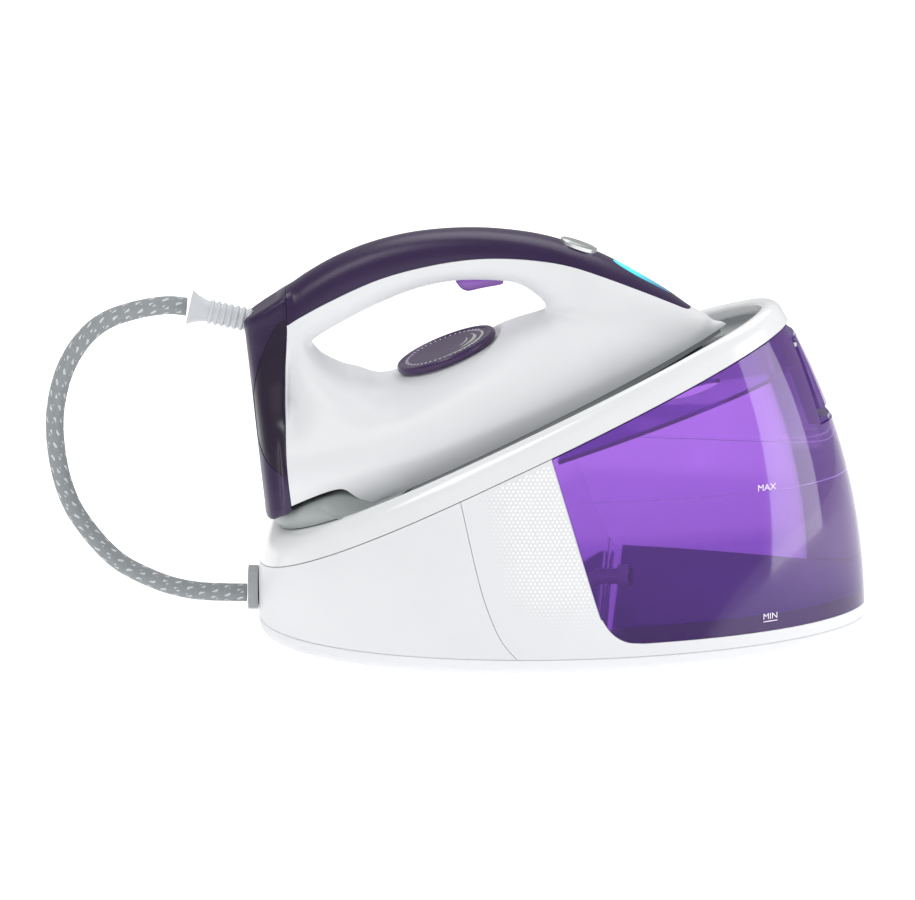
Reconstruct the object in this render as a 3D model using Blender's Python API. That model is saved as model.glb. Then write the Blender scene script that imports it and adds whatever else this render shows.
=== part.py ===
"""Steam generator iron: a base station with a slide-out water tank and a docked steam iron.

Metres, +Z up. +X points to the nose of the iron and the tank, +Y to the iron's left side.
The origin is on the ground below the middle of the object. The iron rests in a dock that
rises towards the nose; iron pieces are modelled in the dock's own frame: x along the sole,
z square to it, with z = 0 on the underside of the soleplate.
"""

from math import atan, cos, pi, radians, sin, tan

import bmesh
import bpy
from mathutils import Matrix, Vector

# ---------------------------------------------------------------- driving dimensions
GAP = 0.0003  # clearance between pieces that touch
WALL = 0.0025  # plastic wall thickness

BASE_REAR = -0.179
BASE_FRONT = 0.186
BASE_WIDEST_X = -0.0164
BASE_HALF_WIDTH = 0.107
SIDE_LEAN = 0.22  # half-width lost per metre of height
FRONT_LEAN, FRONT_POWER = 1.807, 2.2
REAR_STRAIGHT_TO = 0.034
REAR_LEAN = 4.7
REAR_FULLNESS, REAR_FULLNESS_RISE = 2.2, 9.0
FRONT_FULLNESS, FRONT_FULLNESS_RISE = 1.8, 1.3
AROUND = 44  # points round a base outline

FOOT_HEIGHT = 0.003
PLATE_TOP = 0.013
TANK_BOTTOM = 0.0205

DOCK_SLOPE = atan(0.4620)
SEAM_AT_X0 = 0.1301  # height of the housing's top edge where x = 0
RIM_HEIGHT, RIM_NOSE_HEIGHT = 0.0224, 0.0165
SOLE_LEVEL = 0.1210  # distance of the sole plane from the origin, square to the dock
SEAM_LEVEL = SEAM_AT_X0 * cos(DOCK_SLOPE)

SOLE_NOSE, SOLE_REAR = 0.1680, -0.0590
SOLE_HALF_WIDTH, SOLE_REAR_HALF_WIDTH = 0.0580, 0.0560
WIDEST_X = -0.0400  # where sole and body are widest
BODY_NOSE, BODY_REAR = 0.1705, -0.1030
BODY_HALF_WIDTH = 0.0605
BODY_FLOOR = 0.0092
SADDLE_HEIGHT = 0.0560

DIAL_RADIUS, DIAL_THICKNESS = 0.0314, 0.0052
DIAL_X, DIAL_TOP = 0.0131, 0.0671
DIAL_LEAN = DOCK_SLOPE - radians(21.5)

HOSE_RADIUS = 0.0054
HOSE_ROUTE = [
    (-0.1862, 0.0, 0.0240), (-0.1990, 0.0, 0.0242), (-0.2158, 0.0, 0.0251), (-0.2326, 0.0, 0.0286),
    (-0.2494, 0.0, 0.0355), (-0.2628, 0.0, 0.0433), (-0.2737, 0.0, 0.0538), (-0.2831, 0.0, 0.0658),
    (-0.2905, 0.0, 0.0780), (-0.2956, 0.0, 0.0919), (-0.2986, 0.0, 0.1057), (-0.3001, 0.0, 0.1196),
    (-0.3001, 0.0, 0.1335), (-0.2980, 0.0, 0.1474), (-0.2938, 0.0, 0.1614), (-0.2871, 0.0, 0.1743),
    (-0.2779, 0.0, 0.1855), (-0.2662, 0.0, 0.1934), (-0.2494, 0.0, 0.1989), (-0.2326, 0.0, 0.2015),
    (-0.2206, 0.0, 0.2006),
]
RELIEF_MOUTH = Vector((-0.2193, 0.0, 0.2003))
RELIEF_INNER = Vector((-0.1642, 0.0, 0.1880))

# Outlines in the dock's frame, as (x, z).
HEEL_FRONT = [(-0.1055, 0.0256), (-0.0944, 0.0575), (-0.0779, 0.0953), (-0.0663, 0.1184), (-0.0580, 0.1380)]
HEEL_REAR_LOW, HEEL_REAR_HIGH = (-0.1240, 0.0253), (-0.0883, 0.1336)
COVER_EDGE = [
    (-0.0900, 0.1250), (-0.0343, 0.1262), (-0.0043, 0.1254), (0.0239, 0.1209), (0.0508, 0.1136),
    (0.0637, 0.1088), (0.0989, 0.0880), (0.1188, 0.0690), (0.1369, 0.0490), (0.1470, 0.0370),
    (0.1560, 0.0255), (0.1610, 0.0165),
]
# Crest of the heel rest seen from the side, and the body's lower edge where it clears it, as (x, z).
REST_CREST = [
    (-0.1187, 0.0216), (-0.1100, 0.0238), (-0.1000, 0.0245), (-0.0883, 0.0255), (-0.0760, 0.0245),
    (-0.0705, 0.0215), (-0.0655, 0.0150), (-0.0605, 0.0100),
]
REST_CLEARANCE = [
    (-0.0590, 0.0080), (-0.0640, 0.0138), (-0.0678, 0.0190), (-0.0700, 0.0240), (-0.0750, 0.0275),
    (-0.0900, 0.0290), (-0.2000, 0.0290),
]
# The handle loop: (top x, top z, underside x, underside z, half width), from the rear neck
# over the grip to the front neck.
HANDLE = [
    (-0.0990, 0.0450, -0.0300, 0.0500, 0.0470),
    (-0.0925, 0.0620, -0.0335, 0.0700, 0.0430),
    (-0.0850, 0.0790, -0.0415, 0.0790, 0.0355),
    (-0.0774, 0.0953, -0.0490, 0.0890, 0.0275),
    (-0.0700, 0.1120, -0.0545, 0.0990, 0.0215),
    (-0.0640, 0.1260, -0.0568, 0.1055, 0.0185),
    (-0.0560, 0.1375, -0.0520, 0.1080, 0.0175),
    (-0.0276, 0.1406, -0.0225, 0.1110, 0.0168),
    (0.0018, 0.1387, 0.0000, 0.1112, 0.0165),
    (0.0298, 0.1336, 0.0219, 0.1082, 0.0165),
    (0.0563, 0.1256, 0.0440, 0.1010, 0.0167),
    (0.0871, 0.1103, 0.0650, 0.0905, 0.0172),
    (0.1053, 0.0961, 0.0753, 0.0784, 0.0182),
    (0.1192, 0.0814, 0.0809, 0.0657, 0.0200),
    (0.1300, 0.0655, 0.0850, 0.0480, 0.0220),
    (0.1400, 0.0520, 0.0900, 0.0330, 0.0215),
    (0.1488, 0.0391, 0.1000, 0.0200, 0.0200),
    (0.1560, 0.0268, 0.1150, 0.0130, 0.0165),
    (0.1620, 0.0190, 0.1300, 0.0115, 0.0120),
]
HULL_CROWN = [(0.0, SADDLE_HEIGHT), (0.095, 0.0580), (0.120, 0.0510), (0.140, 0.0360), (0.155, 0.0215),
              (BODY_NOSE, 0.0120)]
# Base outlines seen from the side, as (x, z).
HOUSING_EDGE = [
    (-0.0640, 0.1300), (-0.0583, 0.1050), (-0.0470, 0.0570), (-0.0395, 0.0350), (-0.0325, 0.0215),
    (-0.0220, 0.0100),
]
TANK_EDGE = [
    (-0.0110, 0.1500), (-0.0044, 0.1285), (0.0215, 0.0453), (0.0260, 0.0345), (0.0320, 0.0265),
    (0.0400, 0.0218), (0.0500, TANK_BOTTOM),
]
TANK_COVER_AT_X0, TANK_COVER_SLOPE = 0.1241, 0.3148

COUPLING_X, COUPLING_Y, COUPLING_Z = 0.0185, -0.030, 0.0440
FILLER_X, FILLER_RADIUS = 0.075, 0.0150
LEVER_POCKET_DEPTH = 0.0200
LEVER_TOP_Z, LEVER_LOW_Z = 0.1838, 0.1420
LEVER_HALF_TOP, LEVER_HALF_LOW = 0.0110, 0.0170
PUMP = Vector((-0.0850, 0.034, 0.0360))
MAINS_X = -0.1560

# Controls in the dock's frame.
BUTTON_PLACE = Vector((0.1118, 0, 0.0905))  # centre of the button's face
BUTTON_LEAN = radians(44.0)  # the face looks up and forward
BUTTON_HALF_LENGTH, BUTTON_HALF_WIDTH = 0.0100, 0.0066
LENS_PLACE = Vector((0.1366, 0, 0.0563))
LENS_LEAN = radians(54.5)
LENS_HALF_LENGTH, LENS_HALF_WIDTH = 0.0205, 0.0062
TRIGGER_PIVOT = Vector((0.0640, 0, 0.0985))


# ---------------------------------------------------------------- scene and materials
def clear_scene():
    for obj in list(bpy.data.objects):
        bpy.data.objects.remove(obj)


def material(name, colour, roughness=0.35, metallic=0.0, alpha=1.0):
    made = bpy.data.materials.new(name)
    made.use_nodes = True
    shader = made.node_tree.nodes["Principled BSDF"]
    shader.inputs["Base Color"].default_value = (*colour, 1.0)
    shader.inputs["Roughness"].default_value = roughness
    shader.inputs["Metallic"].default_value = metallic
    shader.inputs["Alpha"].default_value = alpha
    made.diffuse_color = (*colour, alpha)
    return made


def add_materials():
    return {
        "white": material("white_plastic", (0.86, 0.86, 0.86), 0.25),
        "grey": material("grey_plastic", (0.45, 0.47, 0.48), 0.45),
        "purple": material("dark_purple_plastic", (0.060, 0.030, 0.115), 0.4),
        "inset": material("deep_purple_plastic", (0.030, 0.012, 0.060), 0.35),
        "tank": material("purple_clear_plastic", (0.30, 0.10, 0.62), 0.05, 0.0, 0.5),
        "trigger": material("violet_clear_plastic", (0.35, 0.12, 0.62), 0.2),
        "silver": material("silver_plastic", (0.45, 0.46, 0.45), 0.3, 0.6),
        "lens": material("cyan_lens", (0.10, 0.75, 0.85), 0.2),
        "rubber": material("dark_rubber", (0.03, 0.03, 0.03), 0.8),
        "silicone": material("grey_silicone", (0.35, 0.37, 0.38), 0.6),
        "hose": material("grey_braid", (0.30, 0.32, 0.34), 0.8),
        "relief": material("pale_grey_rubber", (0.62, 0.64, 0.66), 0.45),
        "steel": material("steel", (0.60, 0.60, 0.60), 0.3, 1.0),
        "sole": material("soleplate_ceramic", (0.30, 0.29, 0.33), 0.25, 0.8),
        "cast": material("cast_aluminium", (0.55, 0.56, 0.57), 0.5, 1.0),
        "copper": material("copper", (0.60, 0.30, 0.18), 0.35, 1.0),
        "board": material("circuit_board", (0.03, 0.20, 0.09), 0.5),
        "black": material("black_plastic", (0.02, 0.02, 0.02), 0.45),
        "tubing": material("silicone_tubing", (0.70, 0.68, 0.62), 0.4),
    }


# ---------------------------------------------------------------- shape tools
def add_object(name, mesh_or_bmesh, look=None, frame=None):
    if isinstance(mesh_or_bmesh, bmesh.types.BMesh):
        mesh = bpy.data.meshes.new(name)
        bmesh.ops.recalc_face_normals(mesh_or_bmesh, faces=mesh_or_bmesh.faces)
        mesh_or_bmesh.to_mesh(mesh)
        mesh_or_bmesh.free()
    else:
        mesh = mesh_or_bmesh
    obj = bpy.data.objects.new(name, mesh)
    bpy.context.collection.objects.link(obj)
    if look:
        mesh.materials.append(look)
        if hasattr(mesh, "shade_smooth"):
            mesh.shade_smooth()
            mesh.set_sharp_from_angle(angle=radians(35))
    if frame:
        obj.parent = frame
    return obj


def as_helper(obj):
    obj.hide_render = True
    obj.display_type = "WIRE"
    return obj


def cut(obj, tool, operation="DIFFERENCE"):
    modifier = obj.modifiers.new(operation.lower() + "_" + tool.name, "BOOLEAN")
    modifier.operation = operation
    modifier.object = as_helper(tool)
    return obj


def loft(name, rings, look=None, frame=None):
    """A closed solid through rings of equal point count, with flat ends."""
    bm = bmesh.new()
    rows = [[bm.verts.new(point) for point in ring] for ring in rings]
    count = len(rows[0])
    for low, high in zip(rows, rows[1:]):
        for i in range(count):
            bm.faces.new((low[i], low[(i + 1) % count], high[(i + 1) % count], high[i]))
    bm.faces.new(rows[0][::-1])
    bm.faces.new(rows[-1])
    bmesh.ops.triangulate(bm, faces=bm.faces)
    return add_object(name, bm, look, frame)


def hoop(name, sections, look=None, frame=None):
    """A closed ring: sections are loops of equal point count, joined all the way round."""
    bm = bmesh.new()
    rows = [[bm.verts.new(point) for point in section] for section in sections]
    count = len(rows[0])
    for low, high in zip(rows, rows[1:] + rows[:1]):
        for i in range(count):
            bm.faces.new((low[i], low[(i + 1) % count], high[(i + 1) % count], high[i]))
    bmesh.ops.triangulate(bm, faces=bm.faces)
    return add_object(name, bm, look, frame)


def prism(name, outline, half_width, centre_y=0.0, look=None, frame=None):
    """An (x, z) outline extruded along y, to both sides of centre_y."""
    low = [Vector((x, centre_y - half_width, z)) for x, z in outline]
    high = [Vector((x, centre_y + half_width, z)) for x, z in outline]
    return loft(name, [low, high], look, frame)


def box(name, centre, size, look=None, frame=None, bevel=0.0):
    bm = bmesh.new()
    bmesh.ops.create_cube(bm, size=1.0, matrix=Matrix.Translation(centre) @ Matrix.Diagonal((*size, 1.0)))
    if bevel:
        bmesh.ops.bevel(bm, geom=bm.edges[:], offset=bevel, segments=1, affect="EDGES")
    return add_object(name, bm, look, frame)


def turned(name, profile, segments, look=None, frame=None, at=(0, 0, 0), turn=None):
    """A profile of (radius, height) pairs turned about the object's own z axis. Radius 0 closes an end."""
    bm = bmesh.new()
    rows = []
    steps = [2 * pi * (i + 0.5) / segments for i in range(segments)]
    for radius, height in profile:
        if radius == 0:
            rows.append([bm.verts.new((0, 0, height))])
        else:
            rows.append([bm.verts.new((radius * cos(a), radius * sin(a), height)) for a in steps])
    pairs = list(zip(rows, rows[1:]))
    if profile[0][0] != 0 and profile[-1][0] != 0:
        pairs.append((rows[-1], rows[0]))
    for low, high in pairs:
        for i in range(segments):
            a, b = low[i % len(low)], low[(i + 1) % len(low)]
            c, d = high[(i + 1) % len(high)], high[i % len(high)]
            corners = list(dict.fromkeys((a, b, c, d)))
            bm.faces.new(corners)
    obj = add_object(name, bm, look, frame)
    obj.location = at
    if turn is not None:
        obj.rotation_euler = turn
    return obj


def disc(name, radius, low, high, segments, look=None, frame=None, at=(0, 0, 0), turn=None):
    return turned(name, [(0, low), (radius, low), (radius, high), (0, high)], segments, look, frame, at, turn)


def spline_points(points, spacing):
    """Points about that spacing apart on a smooth curve through the given points."""
    points = [Vector(p) for p in points]
    ends = [points[0] * 2 - points[1]] + points + [points[-1] * 2 - points[-2]]
    fine = []
    steps = 12
    for p0, p1, p2, p3 in zip(ends, ends[1:], ends[2:], ends[3:]):
        for k in range(steps):
            t = k / steps
            fine.append(0.5 * (2 * p1 + (p2 - p0) * t + (2 * p0 - 5 * p1 + 4 * p2 - p3) * t ** 2
                               + (3 * p1 - p0 - 3 * p2 + p3) * t ** 3))
    fine.append(points[-1])
    lengths = [0.0]
    for a, b in zip(fine, fine[1:]):
        lengths.append(lengths[-1] + (b - a).length)
    count = max(2, round(lengths[-1] / spacing))
    even = []
    for k in range(count + 1):
        target = lengths[-1] * k / count
        i = max(1, next((j for j, s in enumerate(lengths) if s >= target - 1e-9), len(fine) - 1))
        share = (target - lengths[i - 1]) / max(lengths[i] - lengths[i - 1], 1e-9)
        even.append(fine[i - 1].lerp(fine[i], share))
    return even


def tube(name, points, radius, look, frame=None, spacing=0.012, sides=2):
    curve = bpy.data.curves.new(name, "CURVE")
    curve.dimensions = "3D"
    curve.bevel_depth = radius
    curve.bevel_resolution = sides
    curve.use_fill_caps = True
    even = spline_points(points, spacing)
    spline = curve.splines.new("POLY")
    spline.points.add(len(even) - 1)
    for slot, point in zip(spline.points, even):
        slot.co = (*point, 1.0)
    obj = bpy.data.objects.new(name, curve)
    bpy.context.collection.objects.link(obj)
    curve.materials.append(look)
    if frame:
        obj.parent = frame
    return obj


def coil_points(radius, height, turns, per_turn=9):
    count = int(turns * per_turn)
    return [
        (radius * cos(2 * pi * k / per_turn), radius * sin(2 * pi * k / per_turn), height * k / count)
        for k in range(count + 1)
    ]


def spring(name, radius, wire, height, turns, look, frame=None, at=(0, 0, 0), turn=None):
    """A coil spring of round wire about the object's own z axis."""
    points = [Vector(p) for p in coil_points(radius, height, turns)]
    sides = 5
    rings = []
    for i, point in enumerate(points):
        along = (points[min(i + 1, len(points) - 1)] - points[max(i - 1, 0)]).normalized()
        out = Vector((point.x, point.y, 0)).normalized()
        up = along.cross(out)
        turns_round = [2 * pi * k / sides for k in range(sides)]
        rings.append([point + (out * cos(a) + up * sin(a)) * wire for a in turns_round])
    obj = loft(name, rings, look, frame)
    obj.location = at
    if turn is not None:
        obj.rotation_euler = turn
    return obj


def superellipse(angle, half_x, half_y, fullness):
    c, s = cos(angle), sin(angle)
    return (
        half_x * abs(c) ** (2 / fullness) * (1 if c >= 0 else -1),
        half_y * abs(s) ** (2 / fullness) * (1 if s >= 0 else -1),
    )


def smooth_step(low, high, value):
    t = min(1.0, max(0.0, (value - low) / (high - low)))
    return t * t * (3 - 2 * t)


# ---------------------------------------------------------------- base surfaces
def base_point(angle, z, inset=0.0):
    """A point of the base's outer surface at height z; angle 0 is the nose."""
    half_y = BASE_HALF_WIDTH - SIDE_LEAN * (z - PLATE_TOP) - inset
    if cos(angle) >= 0:
        half_x = BASE_FRONT - FRONT_LEAN * max(z, 0) ** FRONT_POWER - BASE_WIDEST_X - inset
        fullness = FRONT_FULLNESS + FRONT_FULLNESS_RISE * z
    else:
        half_x = BASE_WIDEST_X - BASE_REAR - REAR_LEAN * max(0, z - REAR_STRAIGHT_TO) ** 2 - inset
        fullness = REAR_FULLNESS + REAR_FULLNESS_RISE * max(0, z - PLATE_TOP)
    half_x = max(half_x, 0.03)
    x, y = superellipse(angle, half_x, half_y, fullness)
    return Vector((BASE_WIDEST_X + x, y, z))


def dock_height(x, above_seam=0.0):
    """Height of a plane parallel to the dock, a vertical distance above the seam plane."""
    return SEAM_AT_X0 + tan(DOCK_SLOPE) * x + above_seam


def level_height(x, level):
    """Height at x of the plane that lies level metres from the origin, square to the dock."""
    return (level + x * sin(DOCK_SLOPE)) / cos(DOCK_SLOPE)


def point_on(angle, height_at, inset=0.0):
    """Where the base's surface, inset, meets the plane z = height_at(x)."""
    z = 0.1
    for _ in range(40):
        z = 0.5 * (z + height_at(base_point(angle, z, inset).x))
    return base_point(angle, z, inset)


def angles(count=AROUND):
    return [2 * pi * k / count for k in range(count)]


def base_block(name, bottom, top_at, inset, levels=6, look=None):
    """The solid inside the base's surface from height bottom up to the plane top_at(x)."""
    tops = [point_on(a, top_at, inset) for a in angles()]
    rings = []
    for k in range(levels + 1):
        share = k / levels
        rings.append([
            base_point(a, bottom + share * (top.z - bottom), inset) for a, top in zip(angles(), tops)
        ])
    return loft(name, rings, look)


def offset_outline(points, distance):
    """An open outline moved square to itself, to the right of its direction."""
    moved = []
    for i, point in enumerate(points):
        before = Vector(points[max(i - 1, 0)])
        after = Vector(points[min(i + 1, len(points) - 1)])
        along = (after - before).normalized()
        moved.append((point[0] + along.y * distance, point[1] - along.x * distance))
    return moved


# ---------------------------------------------------------------- base pieces
def seam_under(x):
    return dock_height(x, -GAP)


def add_bottom_plate(looks):
    low = [base_point(a, PLATE_TOP, 0.0045) for a in angles()]
    for point in low:
        point.z = FOOT_HEIGHT
    mid = [base_point(a, PLATE_TOP, 0.0012) for a in angles()]
    for point in mid:
        point.z = FOOT_HEIGHT + 0.004
    top = [base_point(a, PLATE_TOP - GAP) for a in angles()]
    plate = loft("bottom_plate", [low, mid, top], looks["white"])
    pocket = [base_point(a, PLATE_TOP, 0.0075) for a in angles()]
    rings = [[Vector((p.x, p.y, z)) for p in pocket] for z in (FOOT_HEIGHT + WALL, PLATE_TOP + 0.01)]
    cut(plate, loft("bottom_plate_pocket", rings))
    return plate


def screw_places():
    return [(-0.135, -0.040), (-0.135, 0.040), (0.110, -0.042), (0.110, 0.042)]


def add_base_fasteners(looks, plate):
    for i, (x, y) in enumerate(screw_places(), 1):
        cut(plate, disc(f"screw_hole_{i}", 0.0040, -0.01, 0.02, 10, at=(x, y, 0)))
        profile = [(0, 0.0040), (0.0012, 0.0048), (0.0036, 0.0040), (0.0036, 0.0056), (0.0017, 0.0060),
                   (0.0017, 0.0120), (0, 0.0126)]
        turned(f"base_screw_{i}", profile, 10, looks["steel"], at=(x, y, 0))
    for side, y in (("right", -0.060), ("left", 0.060)):
        for end, x in (("rear", -0.115), ("front", 0.085)):
            top = FOOT_HEIGHT - GAP
            profile = [(0, 0.0), (0.0080, 0.0), (0.0090, 0.0008), (0.0090, top), (0, top)]
            turned(f"foot_{end}_{side}", profile, 14, looks["rubber"], at=(x, y, 0))


def housing_zone(name, gap):
    """Everything behind the edge between the rear housing and the tank cradle."""
    edge = offset_outline(HOUSING_EDGE, gap)
    return prism(name, [(-0.3, 0.25), (edge[0][0], 0.25)] + edge + [(edge[-1][0], -0.05), (-0.3, -0.05)], 0.2)


def tank_zone(name, grow):
    """The tank's profile seen from the side, grown by a clearance or shrunk by a wall."""
    edge = offset_outline(TANK_EDGE, grow)
    return prism(name, [(edge[0][0], 0.32)] + edge + [(0.3, edge[-1][1]), (0.3, 0.32)], 0.2)


def add_rear_housing(looks):
    housing = base_block("rear_housing", PLATE_TOP, seam_under, 0.0, look=looks["white"])
    cut(housing, housing_zone("housing_keep", 0.0), "INTERSECT")
    cut(housing, base_block("housing_hollow", PLATE_TOP - 0.01, lambda x: dock_height(x, 0.02), WALL))
    cut(housing, box("mains_cord_hole", (-0.165, 0.060, 0.030), (0.05, 0.0126, 0.0126)))
    return housing


def add_tank_cradle(looks):
    """Side wings, bulkhead and the tray floor under the tank, in one moulding."""
    cradle = base_block("tank_cradle", PLATE_TOP, seam_under, 0.0, look=looks["white"])
    cut(cradle, housing_zone("cradle_rear_cut", -GAP))
    cut(cradle, tank_zone("cradle_tank_cut", GAP))
    hollow = base_block("cradle_hollow", PLATE_TOP - 0.01, lambda x: dock_height(x, 0.02), WALL)
    behind = offset_outline(TANK_EDGE, GAP + WALL)
    outline = [(-0.3, 0.25), (behind[0][0], 0.25)] + behind + [(behind[-1][0], -0.05), (-0.3, -0.05)]
    cut(hollow, prism("cradle_hollow_zone", outline, 0.2), "INTERSECT")
    cut(cradle, hollow)
    coupling_at = (COUPLING_X, COUPLING_Y, COUPLING_Z)
    cut(cradle, disc("coupling_hole", 0.0075, -0.02, 0.03, 16, at=coupling_at, turn=(0, pi / 2, 0)))
    above = base_block("cradle_top_clearance", 0.0, lambda x: dock_height(x, 0.03), WALL)
    edge = SEAM_LEVEL - 0.0030
    below = [(-0.3, level_height(-0.3, edge)), (0.3, level_height(0.3, edge)), (0.3, -0.05), (-0.3, -0.05)]
    cut(above, prism("cradle_keep_below", below, 0.2))
    cut(cradle, above)
    return cradle


def rim_section(angle):
    """The rim's cross-section loop at one angle: outer face, rounded top, inner face."""
    foot = point_on(angle, lambda x: dock_height(x))
    nose = smooth_step(0.085, 0.130, foot.x)
    height = RIM_HEIGHT + (RIM_NOSE_HEIGHT - RIM_HEIGHT) * nose
    top_in = 0.0030 + 0.0050 * nose
    steps = [
        (0.0, 0.0), (0.55 * height, 0.0004 + 0.0020 * nose), (0.86 * height, 0.0012 + 0.0040 * nose),
        (height, top_in), (height, 0.0090 + 0.0020 * nose), (0.80 * height, 0.0106 + 0.0020 * nose),
        (0.0, 0.0106 + 0.0020 * nose),
    ]
    return [point_on(angle, lambda x, up=up: dock_height(x, up), inset) for up, inset in steps]


def add_dock_rim(looks):
    return hoop("dock_rim", [rim_section(a) for a in angles()], looks["white"])


def add_dock_tray(looks):
    """The grey basin that the iron sits in: a floor and a wall that stands inside the rim."""
    def ring(inset, level):
        points = []
        for angle in angles():
            foot = point_on(angle, lambda x: dock_height(x))
            behind_rim = 0.0114 + 0.0020 * smooth_step(0.085, 0.130, foot.x)
            points.append(point_on(angle, lambda x: level_height(x, level), behind_rim + inset))
        return points

    floor_top = SOLE_LEVEL - 0.0005
    wall_top = SEAM_LEVEL + 0.0125
    steps = [(0.0, floor_top - WALL), (0.0, wall_top), (0.0012, wall_top), (0.0012, floor_top)]
    rings = [ring(inset, level) for inset, level in steps]
    return loft("dock_tray", rings, looks["grey"])


def add_tank(looks):
    shell = base_block("tank_shell", TANK_BOTTOM, lambda x: dock_height(x, -0.0007), 0.0, 7, looks["tank"])
    cut(shell, tank_zone("tank_keep", 0.0), "INTERSECT")
    hollow = base_block("tank_hollow", TANK_BOTTOM + 0.003, lambda x: dock_height(x, 0.02), WALL)
    cut(hollow, tank_zone("tank_hollow_zone", -WALL), "INTERSECT")
    cut(shell, hollow)
    spigot_at = (COUPLING_X + 0.008, COUPLING_Y, COUPLING_Z)
    cut(shell, disc("tank_spigot_hole", 0.0050, -0.02, 0.02, 12, at=spigot_at, turn=(0, pi / 2, 0)))
    pocket = lever_pocket_cutter("finger_pocket_cut", LEVER_POCKET_DEPTH - WALL)
    cut(shell, pocket)

    def cover_low(x):
        return TANK_COVER_AT_X0 + TANK_COVER_SLOPE * x

    inset = WALL + GAP
    low = [point_on(a, cover_low, inset) for a in angles()]
    high = [point_on(a, lambda x: cover_low(x) + WALL, inset) for a in angles()]
    cover = loft("tank_cover", [low, high], looks["tank"])
    cut(cover, tank_zone("tank_cover_zone", -inset), "INTERSECT")
    cut(cover, disc("filler_hole", FILLER_RADIUS, -0.05, 0.05, 20, at=(FILLER_X, 0, cover_low(FILLER_X))))
    cut(cover, lever_pocket_cutter("cover_pocket_cut", LEVER_POCKET_DEPTH + GAP))
    return shell, cover


def lever_pocket_cutter(name, depth):
    """A block that follows the nose of the tank and reaches depth into it, for the finger pocket."""
    rings = []
    slices = [(LEVER_LOW_Z - 0.0080, 0.0230), (LEVER_TOP_Z - 0.0120, 0.0180), (LEVER_TOP_Z + 0.04, 0.0120)]
    for z, half in slices:
        front = base_point(0.0, z).x
        rings.append([
            Vector((front - depth, -half, z)), Vector((front + 0.04, -half, z)),
            Vector((front + 0.04, half, z)), Vector((front - depth, half, z)),
        ])
    return loft(name, rings)


def pocket_ring(z, half, depth, front_inset):
    """A slice of the finger pocket: flat back and sides, front following the nose of the tank."""
    back = base_point(0.0, z).x - depth
    front = [Vector((nose_x(z, side * half) - front_inset, side * half, z)) for side in (-1, -0.5, 0, 0.5, 1)]
    return [Vector((back, -half, z))] + front + [Vector((back, half, z))]


def add_tank_pocket(looks):
    """The moulded cup behind the release lever that the fingers reach into."""
    depth = LEVER_POCKET_DEPTH - WALL - GAP
    low, high = LEVER_LOW_Z - 0.0074, LEVER_TOP_Z + 0.0020
    outer = [(low, 0.0224), (LEVER_TOP_Z - 0.0120, 0.0174), (high, 0.0150)]
    pocket = loft("finger_pocket", [pocket_ring(z, half, depth, 0.0006) for z, half in outer], looks["tank"])
    inner = [(low + 0.0020, 0.0204), (LEVER_TOP_Z - 0.0120, 0.0155), (high - 0.0015, 0.0132)]
    rings = [pocket_ring(z, half, depth - 0.0015, -0.0100) for z, half in inner]
    cut(pocket, loft("finger_pocket_hollow", rings))
    return pocket


def add_release_lever(looks):
    """The grip tab on the tank's nose, hinged at its top edge."""
    rings = []
    slices = [
        (LEVER_LOW_Z, LEVER_HALF_LOW, 0.0032), (0.150, 0.0165, 0.0034), (0.165, 0.0145, 0.0036),
        (LEVER_TOP_Z - 0.004, LEVER_HALF_TOP, 0.0060), (LEVER_TOP_Z, LEVER_HALF_TOP, 0.0060),
    ]
    for z, half, back in slices:
        front = base_point(0.0, z).x
        ring = []
        for side in (-1, -0.5, 0, 0.5, 1):
            y = side * half
            ring.append(Vector((nose_x(z, y) - 0.0004, y, z)))
        for side in (1, 0, -1):
            y = side * half
            ring.append(Vector((nose_x(z, y) - back, y, z)))
        rings.append(ring)
    lever = loft("release_lever", rings, looks["tank"])
    pin_at = lever_pin_place()
    cut(lever, disc("lever_pin_hole", 0.0018, -0.03, 0.03, 10, at=pin_at, turn=(pi / 2, 0, 0)))
    disc("lever_pin", 0.0015, -0.0125, 0.0125, 10, looks["steel"], at=pin_at, turn=(pi / 2, 0, 0))
    return lever


def nose_x(z, y):
    """x of the base's front surface at height z and offset y."""
    half_y = BASE_HALF_WIDTH - SIDE_LEAN * (z - PLATE_TOP)
    half_x = BASE_FRONT - FRONT_LEAN * z ** FRONT_POWER - BASE_WIDEST_X
    fullness = FRONT_FULLNESS + FRONT_FULLNESS_RISE * z
    return BASE_WIDEST_X + half_x * (1 - (abs(y) / half_y) ** fullness) ** (1 / fullness)


def lever_pin_place():
    z = LEVER_TOP_Z - 0.0035
    return Vector((nose_x(z, 0) - 0.0036, 0, z))


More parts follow.
